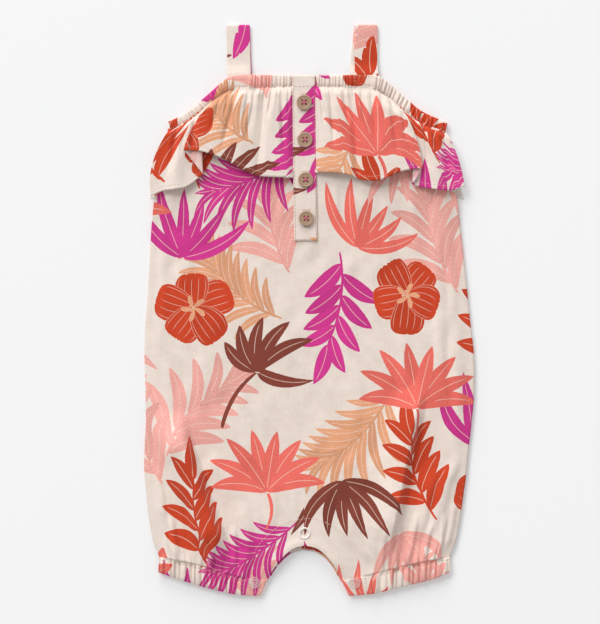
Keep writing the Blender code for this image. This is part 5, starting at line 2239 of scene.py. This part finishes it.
@dataclass
class Stitching:
    """Rows of stitches, each stitch a copy of one small bead of thread."""

    length: float = 1.9
    gap: float = 0.9
    radius: float = 0.19
    bluntness: float = 0.7
    glance: float = 0.4
    rows: dict[str, list[Array]] = field(default_factory=dict)

    def add(self, name: str, *lines: Array) -> None:
        """Keep lines of stitches, in millimetres, for the piece of that name."""
        self.rows.setdefault(name, []).extend(lines)

    def bead(self) -> tuple[Array, list[list[int]]]:
        """Points and faces of one stitch along X, 1 long and 1 in radius.

        Returns:
            The points, and the corner numbers of each face.
        """
        only()
        bpy.ops.mesh.primitive_uv_sphere_add(segments=8, ring_count=6, radius=1.0)
        ball = bpy.context.object
        points = np.array([vert.co for vert in ball.data.vertices])[:, [2, 0, 1]]
        faces = [list(face.vertices) for face in ball.data.polygons]
        bpy.data.objects.remove(ball, do_unlink=True)
        points[:, 0] = squared(points[:, 0], self.bluntness) * 0.5
        return points, faces

    def frames(self, line: Array) -> Array:
        """Middle and scaled axes of each stitch along a line.

        Args:
            line: Points of the line.

        Returns:
            The middle, then the vectors along, to the side and up, (stitches, 4, 3).
        """
        run = lengths(line, 0)
        count = max(int(run[-1] / (self.length + self.gap)), 1)
        places = (np.arange(count) + 0.5) * run[-1] / count
        middle, ahead, behind = (
            np.stack([np.interp(places + step, run, line[:, axis]) for axis in range(3)], -1)
            for step in (0.0, self.glance, -self.glance))
        along = ahead - behind
        along /= np.maximum(np.linalg.norm(along, axis=-1, keepdims=True), TINY)
        side = np.cross(along, (0.0, 0.0, 1.0))
        side /= np.maximum(np.linalg.norm(side, axis=-1, keepdims=True), TINY)
        up = np.cross(side, along)
        return np.stack([middle, self.length * along, self.radius * side, self.radius * up], 1)

    def make(self, materials: dict[str, bpy.types.Material]) -> None:
        """Make one joined piece for each name, with the finish of that name.

        Args:
            materials: The finish of each piece, by its name.
        """
        points, faces = self.bead()
        for name, lines in self.rows.items():
            frames = np.concatenate([self.frames(line) for line in lines])
            verts = (frames[:, :1] + points @ frames[:, 1:]).reshape(-1, 3) * MM
            polygons = [[start + corner for corner in face]
                        for start in range(0, len(verts), len(points)) for face in faces]
            mesh = bpy.data.meshes.new(name)
            mesh.from_pydata(verts.tolist(), [], polygons)
            mesh.materials.append(materials[name])
            mesh.shade_smooth()
            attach(linked(name, mesh), "root")
            LOG.info("%s: %d stitches", name, len(frames))


# ------------------------------------------------------------------ the studio


@dataclass
class Studio:
    """Pale floor, soft light and the camera straight above."""

    lens: float = 100.0
    sensor: float = 36.0
    view_height: float = 490.5
    view_x: float = -7.5
    view_y: float = -1.0
    cloth_level: float = 6.0
    sky: float = 0.49
    floor_colour: Colour = (0.74, 0.743, 0.748, 1.0)
    floor_size: float = 6.0
    floor_drop: float = 0.0002

    def camera(self) -> None:
        """Stand the camera over the garment."""
        data = bpy.data.cameras.new("camera")
        data.lens = self.lens
        data.sensor_width = self.sensor
        camera = linked("camera", data)
        away = self.view_height * self.lens / self.sensor + self.cloth_level
        camera.location = (self.view_x * MM, self.view_y * MM, away * MM)
        bpy.context.scene.camera = camera

    def floor(self) -> None:
        """Lay the pale floor."""
        only()
        bpy.ops.mesh.primitive_plane_add(
            size=self.floor_size, location=(0.0, 0.0, -self.floor_drop))
        floor = bpy.context.object
        floor.name = "floor"
        shade = Shade("floor_paper", Roughness=0.9, Specular_IOR_Level=0.0, Emission_Strength=0.2)
        shade.feed(shade.inputs["Emission Color"], (1.0, 1.0, 1.0, 1.0))
        floor.data.materials.append(shade.finish(self.floor_colour))

    def light(self, name: str, place: tuple[float, float, float], size: float,
              watts: float) -> None:
        """Hang a soft light that looks at the middle of the garment.

        Args:
            name: Its name.
            place: Its place, in metres.
            size: Its width, in metres.
            watts: Its power.
        """
        data = bpy.data.lights.new(name, "AREA")
        data.size = size
        data.energy = watts
        lamp = linked(name, data)
        lamp.location = place
        lamp.rotation_mode = "QUATERNION"
        lamp.rotation_quaternion = (-Vector(place)).to_track_quat("-Z", "Y")

    def make(self) -> None:
        """Set the whole studio up."""
        self.camera()
        self.floor()
        self.light("key", (-5.2, 6.8, 7.4), size=5.0, watts=650.0)
        self.light("top", (-1.5, 11.5, 4.0), size=5.0, watts=720.0)
        world = bpy.data.worlds.new("studio")
        bpy.context.scene.world = world
        world.use_nodes = True
        sky = world.node_tree.nodes["Background"]
        sky.inputs["Color"].default_value = (1.0, 1.0, 1.0, 1.0)
        sky.inputs["Strength"].default_value = self.sky
        bpy.context.scene.view_settings.view_transform = "Standard"


# ------------------------------------------------------------------ the romper

CASINGS = [
    Band(f"neck_casing_{side}", f"casing_front_{side}", table, height=3.25, pucker=2.2, seed=seed,
         pleats=1.2)
    for side, table, seed in (("left", NECK_LEFT, 1.3), ("right", NECK_RIGHT, 2.9))]
CUFFS = [
    Band(f"leg_cuff_{side}", f"cuff_front_{side}", table, height=4.0, pucker=2.8, seed=0.7,
         pleats=0.92, tab=1.0)
    for side, table in (("left", CUFF_LEFT), ("right", CUFF_RIGHT))]
RUFFLES = [
    Ruffle("ruffle_left", "ruffle_front_left", RUFFLE_LEFT, CASINGS[0], (-150.0, 40.0)),
    Ruffle("ruffle_right", "ruffle_front_right", RUFFLE_RIGHT, CASINGS[1], (30.0, -20.0),
           turned=3.0)]
BUTTON_PLACES = Table("x y", (-4.3, 163.7), (-3.6, 134.2), (-3.1, 102.8), (-2.6, 72.5))
THREADS = {
    "stitches_hem": (206, 184, 168), "stitches_seam": (196, 172, 154),
    "stitches_strap": (224, 160, 138), "stitches_placket": (182, 148, 128),
    "stitches_crotch": (240, 206, 190)}


def make_cloth(room: Workroom) -> None:
    """Make every cloth piece.

    Args:
        room: The workroom that sews the pieces.
    """
    front, back = Body().make(room)
    for side, band in zip(("left", "right"), CUFFS):
        Band(f"leg_cuff_back_{side}", f"cuff_back_{side}", band.table, height=2.7, pucker=0.7,
             seed=band.seed, on_floor=True, sides=20, per_gather=8).make(room, back)
        band.make(room, front, [f"leg_cuff_back_{side}"])
    for ruffle in RUFFLES:
        ruffle.casing.make(room, ruffle.make(room))
    Band("neck_casing_back", "casing_back", back_neck(), height=2.4, pucker=0.5, seed=4.1,
         on_floor=True, sides=20, per_gather=8).make(room, BackRuffle().make(room))
    Strap("strap_left", foot_x=-55.2, fold_x=-56.3, back_shift=0.6,
          fabric=(-11.0, 18.0)).make(room)
    Strap("strap_right", foot_x=45.0, fold_x=44.4, back_shift=-3.6,
          fabric=(-121.0, -42.0)).make(room)
    Placket().make(room)


def make_stitches() -> None:
    """Sew the rows of stitches."""
    sewing = Stitching()
    sewing.add("stitches_hem", *(ruffle.hem_line() for ruffle in RUFFLES))
    sewing.add("stitches_seam", *(band.seam_line() for band in CASINGS + CUFFS))
    reach = np.linspace(0.06, 0.94, 20)
    for band, where in zip(CUFFS, (6.12, 5.2)):
        sewing.add("stitches_seam", band.line(np.full_like(reach, where), reach))
    sewing.add("stitches_strap", *CASINGS[0].box(2.03, 2.97, 0.12, 0.66),
               *CASINGS[1].box(2.04, 2.96, 0.3, 0.9))
    sewing.add("stitches_placket", *Placket().lines())
    for (x, y), side, fan in product(
            BUTTON_PLACES.rows, (-1.0, 1.0), (-2.1, -1.05, 0.0, 1.05, 2.1)):
        spots = np.array([[x + fan, y + side * 5.6], [x + 1.35 * fan, y + side * 7.4]])
        level = placket_top(spots[:, 1]) + 0.08
        sewing.add("stitches_placket", np.column_stack([spots, level]))
    sewing.add("stitches_crotch", Body().crotch_stitches())
    sewing.make({
        name: ThreadFinish(name, paint(*dye)).material() for name, dye in THREADS.items()})


def make_hardware() -> None:
    """Make the buttons and snaps."""
    resin = ShellFinish().material()
    pink = ThreadFinish("button_thread", paint(205, 72, 124)).material()
    for index, (x, y) in enumerate(BUTTON_PLACES.rows, 1):
        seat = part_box(f"button_{index}")[0].z / MM
        Button(f"shell_button_{index}", x, y, seat).make(resin, pink)
    milky = PlasticFinish("snap_ring_plastic").material()
    clear = PlasticFinish("snap_cap_plastic", clear=True).material()
    Snap("stud_middle", "snap_middle", -3.9, -174.7, ring=True).make(milky)
    Snap("stud_left", "snap_left", -43.6, -213.8, ring=False).make(clear)
    Snap("stud_right", "snap_right", 35.6, -213.8, ring=False).make(clear)


def main() -> None:
    """Build the romper and its studio."""
    logging.basicConfig(level=logging.INFO, format="%(message)s", stream=sys.stdout)
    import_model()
    Studio().make()
    face = ClothFinish().material()
    reverse = ClothFinish("printed_reverse", REVERSE, strength=0.3).material()
    make_cloth(Workroom(Design(), face, reverse))
    make_hardware()
    make_stitches()


if __name__ == "__main__":
    main()
